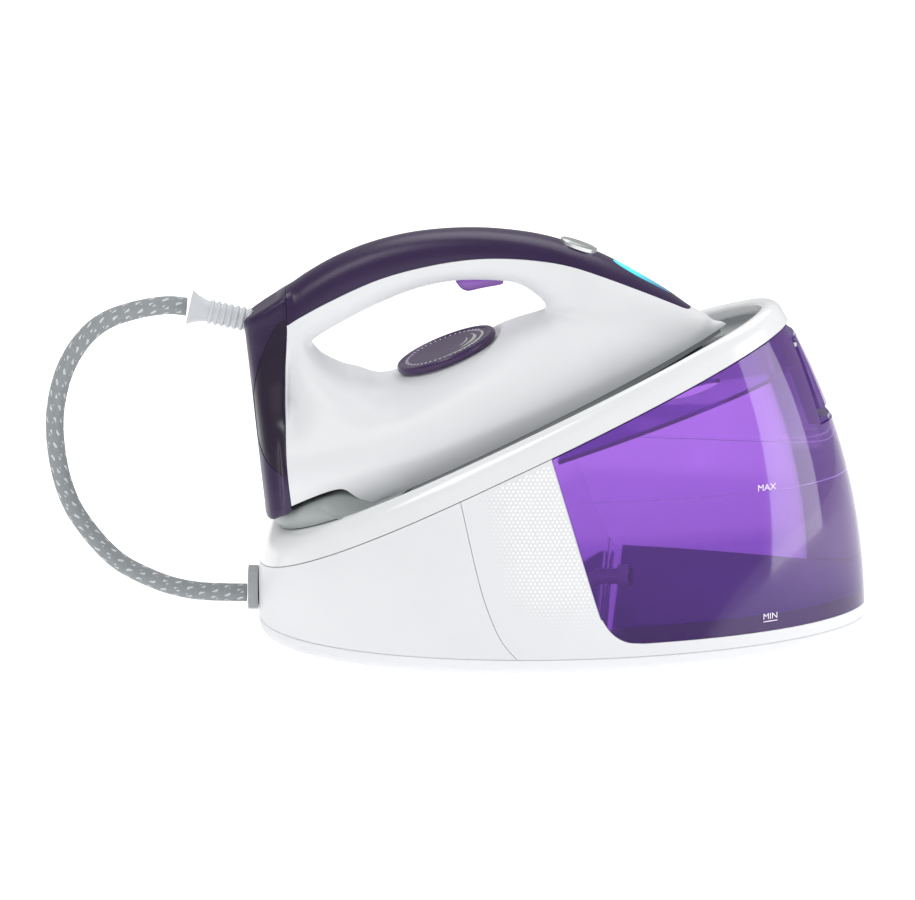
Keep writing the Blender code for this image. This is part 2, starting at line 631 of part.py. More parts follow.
def add_tank_valve(looks):
    """Outlet spigot at the foot of the tank's rear wall, with its sprung plunger and O-ring."""
    at = (COUPLING_X, COUPLING_Y, COUPLING_Z)
    turn = (0, pi / 2, 0)
    spigot = [(0.0030, -0.0100), (0.0046, -0.0100), (0.0046, -0.0080), (0.0038, -0.0080), (0.0038, -0.0060),
              (0.0046, -0.0060), (0.0046, 0.0140), (0.0070, 0.0140), (0.0070, 0.0200), (0.0030, 0.0200)]
    turned("tank_outlet", spigot, 14, looks["white"], at=at, turn=turn)
    seal = [(0.0041, -0.0077), (0.0058, -0.0077), (0.0058, -0.0063), (0.0041, -0.0063)]
    turned("outlet_seal", seal, 14, looks["rubber"], at=at, turn=turn)
    plunger = [(0, -0.0070), (0.0012, -0.0070), (0.0012, 0.0205), (0.0055, 0.0205), (0.0055, 0.0225),
               (0, 0.0225)]
    turned("valve_plunger", plunger, 10, looks["black"], at=at, turn=turn)
    spring_at = (COUPLING_X + 0.0100, COUPLING_Y, COUPLING_Z)
    spring("valve_spring", 0.0022, 0.0003, 0.0085, 4, looks["steel"], at=spring_at, turn=turn)
    socket = [(0.0062, -0.0120), (0.0073, -0.0120), (0.0073, -0.0060), (0.0100, -0.0060), (0.0100, -0.0035),
              (0.0062, -0.0035)]
    turned("tank_coupling", socket, 16, looks["black"], at=at, turn=turn)


def add_base_internals(looks):
    """Pump, tubing and control board inside the rear of the base."""
    along = (0, pi / 2, 0)
    barrel = [(0, -0.040), (0.0035, -0.040), (0.0035, -0.030), (0.0062, -0.030), (0.0062, 0.028),
              (0.0035, 0.028), (0.0035, 0.038), (0, 0.038)]
    turned("pump_barrel", barrel, 12, looks["white"], at=PUMP, turn=along)
    coil = [(0.0066, -0.013), (0.0125, -0.013), (0.0125, 0.013), (0.0066, 0.013)]
    turned("pump_coil", coil, 14, looks["copper"], at=PUMP, turn=along)
    frame = box("pump_frame", PUMP, (0.0340, 0.0300, 0.0300), looks["steel"])
    cut(frame, box("pump_frame_window", PUMP, (0.0270, 0.0400, 0.0260)))
    cut(frame, disc("pump_frame_bore", 0.0066, -0.03, 0.03, 12, at=PUMP, turn=along))
    for end, x in (("rear", -0.1100), ("front", -0.0600)):
        mount = box(f"pump_mount_{end}", (x, PUMP.y, 0.0222), (0.0060, 0.0200, 0.0326), looks["rubber"])
        bore_at = (x, PUMP.y, PUMP.z)
        cut(mount, disc(f"pump_mount_bore_{end}", 0.0066, -0.02, 0.02, 12, at=bore_at, turn=along))
    inlet = Vector((-0.0460, PUMP.y, PUMP.z))
    outlet = Vector((-0.1260, PUMP.y, PUMP.z))
    coupling = Vector((COUPLING_X - 0.0123, COUPLING_Y, COUPLING_Z))
    suction = [coupling, coupling + Vector((-0.012, 0, 0)), (-0.020, -0.010, 0.050), (-0.026, 0.020, 0.046),
               inlet + Vector((0.012, 0, 0.002)), inlet]
    tube("suction_tube", suction, 0.0030, looks["tubing"], spacing=0.010)
    gland = Vector((-0.1755, 0.0, 0.0240))
    pressure = [outlet, outlet + Vector((-0.010, -0.002, -0.002)), (-0.146, 0.018, 0.027),
                gland + Vector((0.014, 0.003, 0)), gland]
    tube("pressure_tube", pressure, 0.0025, looks["tubing"], spacing=0.010)
    box("control_board", (-0.0850, -0.0350, 0.0200), (0.0800, 0.0560, 0.0016), looks["board"])
    box("board_relay", (-0.0650, -0.0400, 0.0291), (0.0180, 0.0150, 0.0160), looks["black"], bevel=0.001)


def add_rear_fittings(looks):
    """Hose gland in the middle of the rear wall and the mains cord's gland beside it."""
    half_y, low, high = 0.0130, 0.0150, 0.0400
    outline = []
    for k in range(16):
        angle = 2 * pi * k / 16
        y, z = superellipse(angle, half_y, (high - low) / 2, 3.0)
        outline.append((y, z + (high + low) / 2))
    front = BASE_REAR - GAP
    rings = [[Vector((x, y, z)) for y, z in outline] for x in (front - 0.0060, front)]
    gland = loft("hose_gland", rings, looks["grey"])
    trim = base_block("hose_gland_trim", PLATE_TOP - 0.02, lambda x: dock_height(x, 0.03), -GAP)
    cut(gland, trim)
    mains = [(0.0035, -0.0060), (0.0062, -0.0060), (0.0062, 0.0060), (0.0035, 0.0060)]
    turned("mains_cord_gland", mains, 14, looks["black"], at=(MAINS_X, 0.060, 0.030), turn=(0, pi / 2, 0))


# ---------------------------------------------------------------- iron surfaces
def plan_half_width(x, nose, rear, half_width, rear_half_width):
    """Half width of an iron-shaped plan: pointed nose, widest behind the middle."""
    if x >= WIDEST_X:
        share = min(1.0, max(0.0, (nose - x) / (nose - WIDEST_X)))
        return half_width * (1 - (1 - share) ** 2) ** 0.8
    share = min(1.0, (WIDEST_X - x) / (WIDEST_X - rear))
    return half_width - (half_width - rear_half_width) * share * share


def sole_outline(inset=0.0, corner=0.018, count=13):
    """The soleplate's plan as (x, y), from the nose round the left side to the rear and back."""
    nose, rear = SOLE_NOSE - 1.6 * inset, SOLE_REAR + inset
    half, rear_half = SOLE_HALF_WIDTH - inset, SOLE_REAR_HALF_WIDTH - inset
    side = []
    for k in range(count):
        share = (k / (count - 1)) ** 1.6
        x = nose - share * (nose - rear - corner)
        side.append((x, plan_half_width(x, nose, rear, half, rear_half)))
    turn_y = side[-1][1] - corner
    for k in range(1, 5):
        angle = pi / 2 * k / 4
        side.append((rear + corner - corner * sin(angle), turn_y + corner * cos(angle)))
    return side + [(x, -y) for x, y in reversed(side) if y > 1e-6]


def slab(name, outline, low, high, look, frame):
    return loft(name, [[Vector((x, y, z)) for x, y in outline] for z in (low, high)], look, frame)


def blend_table(table, value):
    """Straight-line reading of (key, value) pairs in rising key order."""
    for (low, a), (high, b) in zip(table, table[1:]):
        if value <= high:
            return a + (b - a) * max(0.0, (value - low) / (high - low))
    return table[-1][1]


def hull_top(x):
    """Height of the lower body's crown at x: a saddle that falls away to the nose."""
    if x < 0.0:
        return SADDLE_HEIGHT + 0.018 * smooth_step(-0.02, -0.09, x)
    return blend_table(HULL_CROWN, x)


def hull_rings(inset=0.0, floor=BODY_FLOOR, rear=-0.1180):
    """Cross-sections of the iron's lower body, from rear to nose."""
    stations = [rear, -0.095, -0.070, -0.040, 0.000, 0.040, 0.075, 0.105, 0.130, 0.148, 0.160, 0.167]
    nose = BODY_NOSE - 1.8 * inset
    rings = []
    for x in [x for x in stations if x < nose - 0.003] + [nose - 0.0006]:
        half = max(plan_half_width(x, nose, BODY_REAR, BODY_HALF_WIDTH, 0.0580) - inset, 0.0012)
        top = max(hull_top(x) - inset, floor + 0.002)
        middle = min(0.022, 0.5 * (floor + top))
        ring = []
        for k in range(24):
            angle = 2 * pi * k / 24
            fullness = 2.1 if sin(angle) >= 0 else 7.0
            y, up = superellipse(angle, half, 1.0, fullness)
            z = middle + up * ((top - middle) if up >= 0 else (middle - floor))
            ring.append(Vector((x, y, z)))
        rings.append(ring)
    return rings


def handle_rings(inset=0.0, sides=16, fullness=2.4):
    rings = []
    for top_x, top_z, low_x, low_z, half in HANDLE:
        top, low = Vector((top_x, 0, top_z)), Vector((low_x, 0, low_z))
        centre, up = (top + low) / 2, (top - low) / 2
        up = up * ((up.length - inset) / up.length)
        ring = []
        for k in range(sides):
            c, s = superellipse(2 * pi * (k + 0.5) / sides, 1.0, 1.0, fullness)
            ring.append(centre + up * s + Vector((0, c * (half - inset), 0)))
        rings.append(ring)
    return rings


def heel_zone(name, gap, frame):
    """Everything behind the edge between the white body and the heel."""
    edge = [(x + gap, z) for x, z in HEEL_FRONT]
    outline = [(-0.3, 0.0256)] + edge + [(edge[-1][0] + 0.0087, 0.16), (-0.3, 0.16)]
    return prism(name, outline, 0.1, frame=frame)


def cover_zone(name, gap, frame):
    """Everything above the edge between the white handle and its purple cover."""
    edge = [(x, z + gap) for x, z in COVER_EDGE]
    return prism(name, edge + [(0.25, edge[-1][1]), (0.25, 0.25), (edge[0][0], 0.25)], 0.1, frame=frame)


# ---------------------------------------------------------------- iron pieces
def add_sole(looks, dock):
    sole = slab("soleplate", sole_outline(), 0.0, 0.0032, looks["sole"], dock)
    for i, (x, y) in enumerate(vent_places(), 1):
        cut(sole, disc(f"steam_vent_{i}", 0.0016, -0.01, 0.01, 8, frame=dock, at=(x, y, 0)))
    shield = slab("sole_skirt", sole_outline(0.0012), 0.0062, BODY_FLOOR - GAP, looks["grey"], dock)
    cut(shield, slab("sole_skirt_window", sole_outline(0.0085), 0.0, 0.03, None, dock))
    chamber = slab("steam_chamber", sole_outline(0.0100), 0.0035, 0.0150, looks["cast"], dock)
    lid = slab("chamber_lid", sole_outline(0.0200), 0.0153, 0.0183, looks["cast"], dock)
    side = [(-0.0340, 0.0290), (-0.0050, 0.0310), (0.0300, 0.0280), (0.0600, 0.0190)]
    level = 0.0218
    right = [(x, -y, level) for x, y in side]
    left = [(x, y, level) for x, y in reversed(side)]
    route = right + [(0.0820, 0.0, level)] + left
    tube("heating_element", route, 0.0031, looks["steel"], dock, spacing=0.012)
    return sole, shield, chamber, lid


def vent_places():
    """Steam vents: a pair of rows that follow the sole's sides, and one at the nose."""
    places = [(0.138, 0.0)]
    for x in (0.110, 0.075, 0.035, -0.010):
        y = 0.72 * plan_half_width(x, SOLE_NOSE, SOLE_REAR, SOLE_HALF_WIDTH, SOLE_REAR_HALF_WIDTH)
        places += [(x, y), (x, -y)]
    return places


def dial_frame(dock):
    frame = bpy.data.objects.new("dial_axis", None)
    bpy.context.collection.objects.link(frame)
    frame.parent = dock
    frame.location = (DIAL_X, 0, DIAL_TOP)
    frame.rotation_euler = (0, DIAL_LEAN, 0)
    return frame


def add_iron_body(looks, dock, dial_axis):
    body = loft("iron_body", hull_rings(), looks["white"], dock)
    cut(body, loft("iron_handle_loop", handle_rings(), frame=dock), "UNION")
    boss = [(0, -0.030), (0.0400, -0.030), (0.0345, -0.0120), (0.0292, -DIAL_THICKNESS - 0.0006),
            (0, -DIAL_THICKNESS - 0.0006)]
    cut(body, turned("dial_boss", boss, 28, frame=dial_axis), "UNION")
    cut(body, heel_zone("body_heel_cut", GAP, dock))
    cut(body, cover_zone("body_cover_cut", -GAP, dock))
    cut(body, loft("body_hollow", hull_rings(0.0028, -0.004, rear=-0.130), frame=dock))
    cut(body, loft("handle_hollow", handle_rings(0.0032, sides=12), frame=dock))
    cut(body, disc("dial_shaft_hole", 0.0032, -0.05, 0.02, 12, frame=dial_axis))
    cut(body, box("trigger_slot", (0.0500, 0, 0.0990), (0.0300, 0.0136, 0.0200), frame=dock))
    notch = [(-0.20, -0.02), (-0.0610, -0.02)] + REST_CLEARANCE
    cut(body, prism("body_rest_notch", notch, 0.1, frame=dock))
    return body


def add_handle_cover(looks, dock):
    cover = loft("handle_cover", handle_rings(), looks["purple"], dock)
    cut(cover, cover_zone("cover_keep", 0.0, dock), "INTERSECT")
    cut(cover, heel_zone("cover_heel_cut", GAP, dock))
    cut(cover, loft("cover_hollow", handle_rings(0.0030, sides=12), frame=dock))
    room = 0.0004
    half_length, half_width = BUTTON_HALF_LENGTH + room, BUTTON_HALF_WIDTH + room
    cut(cover, button_shape("button_seat", half_length, half_width, -0.012, 0.02, None, dock))
    cut(cover, lens_shape("lens_seat", room, -0.0024, 0.02, None, dock))
    return cover


def leaning(place, lean):
    return Matrix.Translation(place) @ Matrix.Rotation(lean, 4, "Y")


def button_shape(name, half_length, half_width, low, high, look, frame):
    rings = []
    for z in (low, high):
        ring = []
        for k in range(16):
            x, y = superellipse(2 * pi * k / 16, half_length, half_width, 2.2)
            ring.append(leaning(BUTTON_PLACE, BUTTON_LEAN) @ Vector((x, y, z)))
        rings.append(ring)
    return loft(name, rings, look, frame)


def lens_shape(name, grow, low, high, look, frame):
    """A leaf outline, blunt at the handle end and narrow towards the nose."""
    rings = []
    for z in (low, high):
        ring = []
        for k in range(16):
            angle = 2 * pi * k / 16
            x = cos(angle) * (LENS_HALF_LENGTH + grow)
            y = sin(angle) * (LENS_HALF_WIDTH + grow) * (1 - 0.30 * cos(angle))
            ring.append(leaning(LENS_PLACE, LENS_LEAN) @ Vector((x, y, z)))
        rings.append(ring)
    return loft(name, rings, look, frame)


def add_handle_controls(looks, dock):
    button_shape("top_button", BUTTON_HALF_LENGTH, BUTTON_HALF_WIDTH, -0.0050, 0.0006, looks["silver"], dock)
    lens_shape("light_window", 0.0, -0.0021, 0.0002, looks["lens"], dock)
    normal_turn = (0, BUTTON_LEAN, 0)
    base = leaning(BUTTON_PLACE, BUTTON_LEAN)
    spring_at = base @ Vector((0, 0, -0.0085))
    spring("button_spring", 0.0028, 0.0003, 0.0030, 3, looks["steel"], dock, at=spring_at, turn=normal_turn)
    board = box("handle_board", (0, 0, 0), (0.0200, 0.0120, 0.0012), looks["board"], dock)
    board.location = base @ Vector((0, 0, -0.0096))
    board.rotation_euler = normal_turn


def add_trigger(looks, dock):
    """Squeeze trigger under the grip, on a pin at its front end."""
    outline = [(0.0668, 0.0985), (0.0655, 0.1008), (0.0620, 0.1025), (0.0400, 0.1092), (0.0376, 0.1082),
               (0.0372, 0.1030), (0.0392, 0.1000), (0.0420, 0.0995), (0.0480, 0.0985), (0.0560, 0.0952),
               (0.0625, 0.0945), (0.0658, 0.0960)]
    trigger = prism("steam_trigger", outline, 0.0062, look=looks["trigger"], frame=dock)
    across = (pi / 2, 0, 0)
    cut(trigger, disc("trigger_pin_hole", 0.0014, -0.02, 0.02, 10, None, dock, TRIGGER_PIVOT, across))
    disc("trigger_pin", 0.0011, -0.0090, 0.0090, 10, looks["steel"], dock, TRIGGER_PIVOT, across)
    spring("trigger_spring", 0.0022, 0.0003, 0.0060, 4, looks["steel"], dock, at=(0.0460, 0, 0.1080))
    box("trigger_switch", (0.0470, 0, 0.1170), (0.0180, 0.0090, 0.0045), looks["black"], dock)


def heel_half_width(z):
    """Half width of the iron's rear end at height z, following the rear neck."""
    table = [(0.0253, 0.0520), (0.0400, 0.0490), (0.0620, 0.0425), (0.0790, 0.0352), (0.0953, 0.0272),
             (0.1120, 0.0213), (0.1260, 0.0184), (0.1400, 0.0170)]
    return blend_table(table, z)


def heel_front_x(z):
    return blend_table([(z0, x0) for x0, z0 in HEEL_FRONT], z)


def heel_rear_x(z):
    (x0, z0), (x1, z1) = HEEL_REAR_LOW, HEEL_REAR_HIGH
    return x0 + (x1 - x0) * (z - z0) / (z1 - z0)


def heel_rings(inset=0.0, extend=0.0):
    """Slices of the heel from bottom to top; each has a flat front and rounded rear corners."""
    rings = []
    for z in (0.0258, 0.0400, 0.0620, 0.0790, 0.0953, 0.1120, 0.1260, 0.1336):
        half = heel_half_width(z) - inset
        front, rear = heel_front_x(z) - GAP + extend, heel_rear_x(z) + inset
        ring = []
        for k in range(9):
            angle = -pi / 2 + pi * k / 8
            x, y = superellipse(angle, front - rear - 0.004, half, 3.2)
            ring.append((x, y))
        points = [Vector((front, -half, z))] + [Vector((front - 0.004 - x, y, z)) for x, y in ring]
        points.append(Vector((front, half, z)))
        rings.append(points)
    return rings


def add_heel(looks, dock):
    heel = loft("heel_cover", heel_rings(), looks["purple"], dock)
    cut(heel, relief_bore("relief_trough", 0.0082))
    hollow = [[p.copy() for p in ring] for ring in heel_rings(0.0030, 0.02)][:6]
    for point in hollow[0]:
        point.z += 0.0030
    cut(heel, loft("heel_hollow", hollow, frame=dock))
    for side, sign in (("right", -1), ("left", 1)):
        seat = prism(f"heel_seat_{side}", heel_inset_outline(0.0003), 0.0283, sign * 0.0450, frame=dock)
        cut(seat, loft(f"heel_seat_floor_{side}", heel_rings(0.0012), frame=dock))
        cut(heel, seat)
        outline = heel_inset_outline(0.0)
        inset = prism(f"heel_inset_{side}", outline, 0.0280, sign * 0.0450, looks["inset"], dock)
        cut(inset, loft(f"heel_inset_face_{side}", heel_rings(0.0), frame=dock), "INTERSECT")
        cut(inset, loft(f"heel_inset_back_{side}", heel_rings(0.0009), frame=dock))
    return heel


def heel_inset_outline(grow):
    """Bowed panel on the side of the heel: straight along the white edge, round at the back."""
    points = []
    for k in range(9):
        share = k / 8
        z = 0.0470 + 0.0800 * share
        bow = 0.0215 * (4 * share * (1 - share)) ** 0.62
        points.append((heel_front_x(z) - 0.0012 - bow - grow, z + grow * (2 * share - 1)))
    for k in range(8, -1, -2):
        z = 0.0470 + 0.0800 * k / 8
        points.append((heel_front_x(z) - 0.0008 + grow, z + grow * (2 * k / 8 - 1)))
    return points


def relief_frame_turn():
    """Rotation that carries +Z onto the strain relief's axis, from the heel outwards."""
    axis = (RELIEF_MOUTH - RELIEF_INNER).normalized()
    return Vector((0, 0, 1)).rotation_difference(axis).to_euler()


def relief_bore(name, radius):
    length = (RELIEF_MOUTH - RELIEF_INNER).length
    return disc(name, radius, -0.0010, length + 0.05, 14, at=RELIEF_INNER, turn=relief_frame_turn())


def add_hose(looks):
    length = (RELIEF_MOUTH - RELIEF_INNER).length
    profile = [(0, 0.0), (0.0078, 0.0), (0.0078, 0.0120), (0.0070, 0.0135)]
    ribs = 7
    for k in range(ribs):
        low = 0.0150 + k * 0.0042
        profile += [(0.0064, low), (0.0072, low + 0.0008), (0.0072, low + 0.0026), (0.0064, low + 0.0034)]
    mouth = length - GAP
    profile += [(0.0066, length - 0.0105), (0.0078, length - 0.0060), (0.0104, mouth), (0, mouth)]
    turned("hose_relief", profile, 14, looks["relief"], at=RELIEF_INNER, turn=relief_frame_turn())
    tube("steam_hose", HOSE_ROUTE, HOSE_RADIUS, looks["hose"], spacing=0.018, sides=3)


def add_dial(looks, dial_axis):
    t, r = DIAL_THICKNESS, DIAL_RADIUS
    knob = [(0, -t), (r - 0.0022, -t), (r - 0.0004, -t + 0.0012), (r, -0.0012), (r - 0.0008, -0.0003),
            (r - 0.0016, 0.0), (0, 0.0)]
    turned("temperature_dial", knob, 36, looks["purple"], frame=dial_axis)
    shaft = [(0, -0.0330), (0.0026, -0.0330), (0.0026, -t - GAP), (0, -t - GAP)]
    turned("dial_shaft", shaft, 10, looks["steel"], frame=dial_axis)
    thermostat = [(0, -0.0440), (0.0090, -0.0440), (0.0090, -0.0360), (0.0060, -0.0335), (0, -0.0335)]
    turned("thermostat", thermostat, 14, looks["steel"], frame=dial_axis)


def add_steam_pipe(looks, dock):
    """Steam and water line from the hose, down the rear neck to the chamber."""
    route = [(-0.0648, 0, 0.1060), (-0.0650, 0, 0.0850), (-0.0610, 0, 0.0600), (-0.0480, 0, 0.0400),
             (-0.0360, 0, 0.0215)]
    tube("inner_steam_pipe", route, 0.0026, looks["tubing"], dock, spacing=0.010)


def add_heel_rest(looks, dock):
    """Grey bolster across the rear of the dock that the iron's heel settles over.

    It fills the inside of the rim and spreads a little over the rim's top.
    """
    rings = []
    for height, inset in ((0.0100, 0.0122), (0.0170, 0.0122), (0.0181, 0.0060)):
        def surface(x, level=SOLE_LEVEL + height):
            return level_height(x, level)
        rings.append([point_on(angle, surface, inset) for angle in angles()])
    square_to_dock = Vector((-sin(DOCK_SLOPE), 0, cos(DOCK_SLOPE)))
    rings.append([point + square_to_dock * 0.0200 for point in rings[-1]])
    rest = loft("heel_rest", rings, looks["silicone"])
    foot = -0.01
    outline = [(-0.2, foot), (-0.2, REST_CREST[0][1])] + REST_CREST + [(REST_CREST[-1][0], foot)]
    cut(rest, prism("heel_rest_keep", outline, 0.2, frame=dock), "INTERSECT")
    return rest


def main():
    clear_scene()
    looks = add_materials()
    dock = bpy.data.objects.new("dock_frame", None)
    bpy.context.collection.objects.link(dock)
    dock.rotation_euler = (0, -DOCK_SLOPE, 0)
    dock.location = (-SOLE_LEVEL * sin(DOCK_SLOPE), 0, SOLE_LEVEL * cos(DOCK_SLOPE))
    plate = add_bottom_plate(looks)
    add_base_fasteners(looks, plate)
    add_rear_housing(looks)
    add_tank_cradle(looks)
    add_dock_rim(looks)
    add_dock_tray(looks)
    add_tank(looks)
    add_tank_pocket(looks)
    add_release_lever(looks)
    add_tank_valve(looks)
    add_base_internals(looks)
    add_rear_fittings(looks)
    dial_axis = dial_frame(dock)
    add_sole(looks, dock)
    add_iron_body(looks, dock, dial_axis)
    add_handle_cover(looks, dock)
    add_handle_controls(looks, dock)
    add_trigger(looks, dock)
    add_heel(looks, dock)
    add_hose(looks)
    add_dial(looks, dial_axis)
    add_steam_pipe(looks, dock)
    add_heel_rest(looks, dock)


main()
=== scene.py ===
"""Looks for the steam generator iron: smooth shells, fine details, materials, light and camera.

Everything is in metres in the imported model's frame. "Dock frame" means the iron's own frame:
u along the sole towards the nose, y to the left, w square to the sole, w = 0 under the sole.
"""

from math import atan, ceil, cos, pi, radians, sin, tan

import bmesh
import bpy
import numpy as np
from mathutils import Matrix, Vector


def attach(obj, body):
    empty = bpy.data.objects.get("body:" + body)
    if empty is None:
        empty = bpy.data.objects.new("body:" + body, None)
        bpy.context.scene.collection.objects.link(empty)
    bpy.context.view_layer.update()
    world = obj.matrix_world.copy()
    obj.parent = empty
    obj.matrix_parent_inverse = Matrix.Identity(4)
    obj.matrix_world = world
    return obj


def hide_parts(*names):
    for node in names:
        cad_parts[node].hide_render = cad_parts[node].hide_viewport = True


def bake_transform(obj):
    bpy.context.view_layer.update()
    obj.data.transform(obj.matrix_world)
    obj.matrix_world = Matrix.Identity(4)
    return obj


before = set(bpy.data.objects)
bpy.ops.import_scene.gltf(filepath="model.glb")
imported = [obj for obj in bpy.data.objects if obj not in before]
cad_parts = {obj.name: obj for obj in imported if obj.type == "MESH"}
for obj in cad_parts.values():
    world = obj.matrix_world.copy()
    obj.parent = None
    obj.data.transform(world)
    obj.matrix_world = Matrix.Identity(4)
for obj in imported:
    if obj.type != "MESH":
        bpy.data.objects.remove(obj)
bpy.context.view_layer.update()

# ---------------------------------------------------------------- sizes shared with the CAD part
SEAM = 0.0003  # gap shown between two mouldings
WALL = 0.0025

BASE_REAR, BASE_FRONT = -0.179, 0.186
BASE_WIDEST_X = -0.0164
BASE_HALF_WIDTH, SIDE_LEAN = 0.107, 0.22
FRONT_LEAN, FRONT_POWER = 1.807, 2.2
REAR_STRAIGHT_TO, REAR_LEAN = 0.034, 4.7
REAR_FULLNESS, REAR_FULLNESS_RISE = 2.2, 9.0
FRONT_FULLNESS, FRONT_FULLNESS_RISE = 1.8, 1.3
FOOT_HEIGHT, PLATE_TOP, TANK_BOTTOM = 0.003, 0.013, 0.0205

DOCK_SLOPE = atan(0.4620)
SEAM_AT_X0 = 0.1301
RIM_HEIGHT, RIM_NOSE_HEIGHT = 0.0172, 0.0160
SOLE_LEVEL = 0.1210
SEAM_LEVEL = SEAM_AT_X0 * cos(DOCK_SLOPE)

BODY_NOSE, BODY_REAR = 0.1705, -0.1030
BODY_HALF_WIDTH, BODY_FLOOR = 0.0605, 0.0092
BODY_WIDEST = -0.0400
HULL_FULLNESS, FLANK_TUCK = 2.15, 0.32

# u and w over the handle's loop, u and w under it, and half width, from the heel to the nose
HANDLE = [
    (-0.0990, 0.0450, -0.0300, 0.0500, 0.0470), (-0.0925, 0.0620, -0.0360, 0.0700, 0.0430),
    (-0.0850, 0.0790, -0.0460, 0.0790, 0.0355), (-0.0774, 0.0953, -0.0540, 0.0890, 0.0275),
    (-0.0700, 0.1120, -0.0580, 0.0975, 0.0215), (-0.0650, 0.1290, -0.0585, 0.1030, 0.0190),
    (-0.0590, 0.1385, -0.0520, 0.1054, 0.0178), (-0.0330, 0.1435, -0.0300, 0.1075, 0.0170),
    (-0.0061, 0.1436, -0.0089, 0.1082, 0.0166), (0.0191, 0.1396, 0.0130, 0.1070, 0.0165),
    (0.0425, 0.1323, 0.0340, 0.1024, 0.0166), (0.0649, 0.1224, 0.0520, 0.0948, 0.0169),
    (0.0861, 0.1099, 0.0680, 0.0855, 0.0173), (0.1020, 0.0978, 0.0761, 0.0737, 0.0182),
    (0.1192, 0.0814, 0.0805, 0.0610, 0.0200), (0.1300, 0.0680, 0.0850, 0.0480, 0.0220),
    (0.1400, 0.0540, 0.0900, 0.0330, 0.0215), (0.1488, 0.0405, 0.1000, 0.0200, 0.0200),
    (0.1560, 0.0280, 0.1150, 0.0130, 0.0165), (0.1620, 0.0195, 0.1300, 0.0115, 0.0120),
]
HANDLE_FULLNESS = 2.5
HANDLE_SLICE_GAP = 0.0012  # a point this close to a slice's plane counts as in it
COVER_EDGE = [
    (-0.0900, 0.1190), (-0.0600, 0.1225), (-0.0343, 0.1242), (-0.0043, 0.1240), (0.0239, 0.1196),
    (0.0508, 0.1122), (0.0750, 0.1015), (0.0989, 0.0868), (0.1188, 0.0690), (0.1369, 0.0495),
    (0.1470, 0.0378), (0.1550, 0.0285), (0.1590, 0.0300), (0.1640, 0.0400), (0.1800, 0.0700),
]
HEEL_FRONT = [(-0.1055, 0.0256), (-0.0944, 0.0575), (-0.0779, 0.0953), (-0.0663, 0.1184), (-0.0580, 0.1380)]
HEEL_REAR_LOW, HEEL_REAR_HIGH = (-0.1240, 0.0253), (-0.0883, 0.1336)
HEEL_HALF_WIDTH = [
    (0.0253, 0.0520), (0.0400, 0.0490), (0.0620, 0.0425), (0.0790, 0.0352), (0.0953, 0.0272),
    (0.1120, 0.0213), (0.1260, 0.0184), (0.1400, 0.0170),
]
HEEL_FULLNESS, HEEL_OVERLAP, HEEL_ROOF_SLOPE = 3.4, 0.004, 0.145
INSET_FOOT, INSET_HEIGHT, INSET_BOW = 0.0470, 0.0800, 0.0205
DECK_BLEND, HANDLE_BLEND, RECESS_BLEND, BOSS_BLEND, HEEL_BLEND = 0.003, 0.007, 0.002, 0.003, 0.004
REST_CREST = [
    (-0.1187, 0.0216), (-0.1100, 0.0238), (-0.1000, 0.0245), (-0.0883, 0.0255), (-0.0760, 0.0245),
    (-0.0705, 0.0215), (-0.0655, 0.0150), (-0.0605, 0.0100),
]
REST_SHOULDER = 0.0132  # height over the sole where the bolster leaves the rim
REST_CLEARANCE = [
    (-0.0590, 0.0080), (-0.0640, 0.0138), (-0.0678, 0.0190), (-0.0700, 0.0240), (-0.0750, 0.0275),
    (-0.0900, 0.0290), (-0.1300, 0.0290),
]
HOUSING_EDGE = [
    (-0.0640, 0.1300), (-0.0583, 0.1050), (-0.0470, 0.0570), (-0.0395, 0.0350), (-0.0325, 0.0215),
    (-0.0220, 0.0100),
]
TANK_EDGE = [
    (-0.0110, 0.1500), (-0.0044, 0.1285), (0.0215, 0.0453), (0.0260, 0.0345), (0.0320, 0.0265),
    (0.0400, 0.0218), (0.0500, TANK_BOTTOM),
]
TANK_COVER_AT_X0, TANK_COVER_SLOPE = 0.1241, 0.3148
FILLER_X, FILLER_RADIUS = 0.075, 0.0150
LEVER_POCKET_DEPTH = 0.0200
LEVER_TOP_Z, LEVER_LOW_Z = 0.1838, 0.1420

DIAL_PLACE, DIAL_LEAN = Vector((0.0131, 0, 0.0671)), DOCK_SLOPE - radians(21.5)
DIAL_RADIUS, DIAL_THICKNESS = 0.0314, 0.0052
BOSS_RADIUS, BOSS_FLARE, BOSS_TOP = 0.0298, 0.30, 0.0006
RECESS_RADIUS, RECESS_FLOOR, RECESS_TOP = 0.0340, 0.0010, 0.0120
BUTTON_PLACE, BUTTON_LEAN = Vector((0.1118, 0, 0.0905)), radians(44.0)
BUTTON_HALF_LENGTH, BUTTON_HALF_WIDTH = 0.0100, 0.0066
LENS_PLACE, LENS_LEAN = Vector((0.1366, 0, 0.0563)), radians(54.5)
LENS_HALF_LENGTH, LENS_HALF_WIDTH, LENS_TAPER = 0.0205, 0.0062, 0.30
SLOT_U, SLOT_W, SLOT_HALF_LENGTH, SLOT_HALF_WIDTH = 0.0505, 0.1010, 0.0155, 0.0068
DOT_SPACING, DOT_RADIUS, DOT_SMALLEST, DOT_RISE = 0.00255, 0.00095, 0.00018, 0.00050
RELIEF_MOUTH, RELIEF_INNER = Vector((-0.2193, 0.0, 0.2003)), Vector((-0.1642, 0.0, 0.1880))

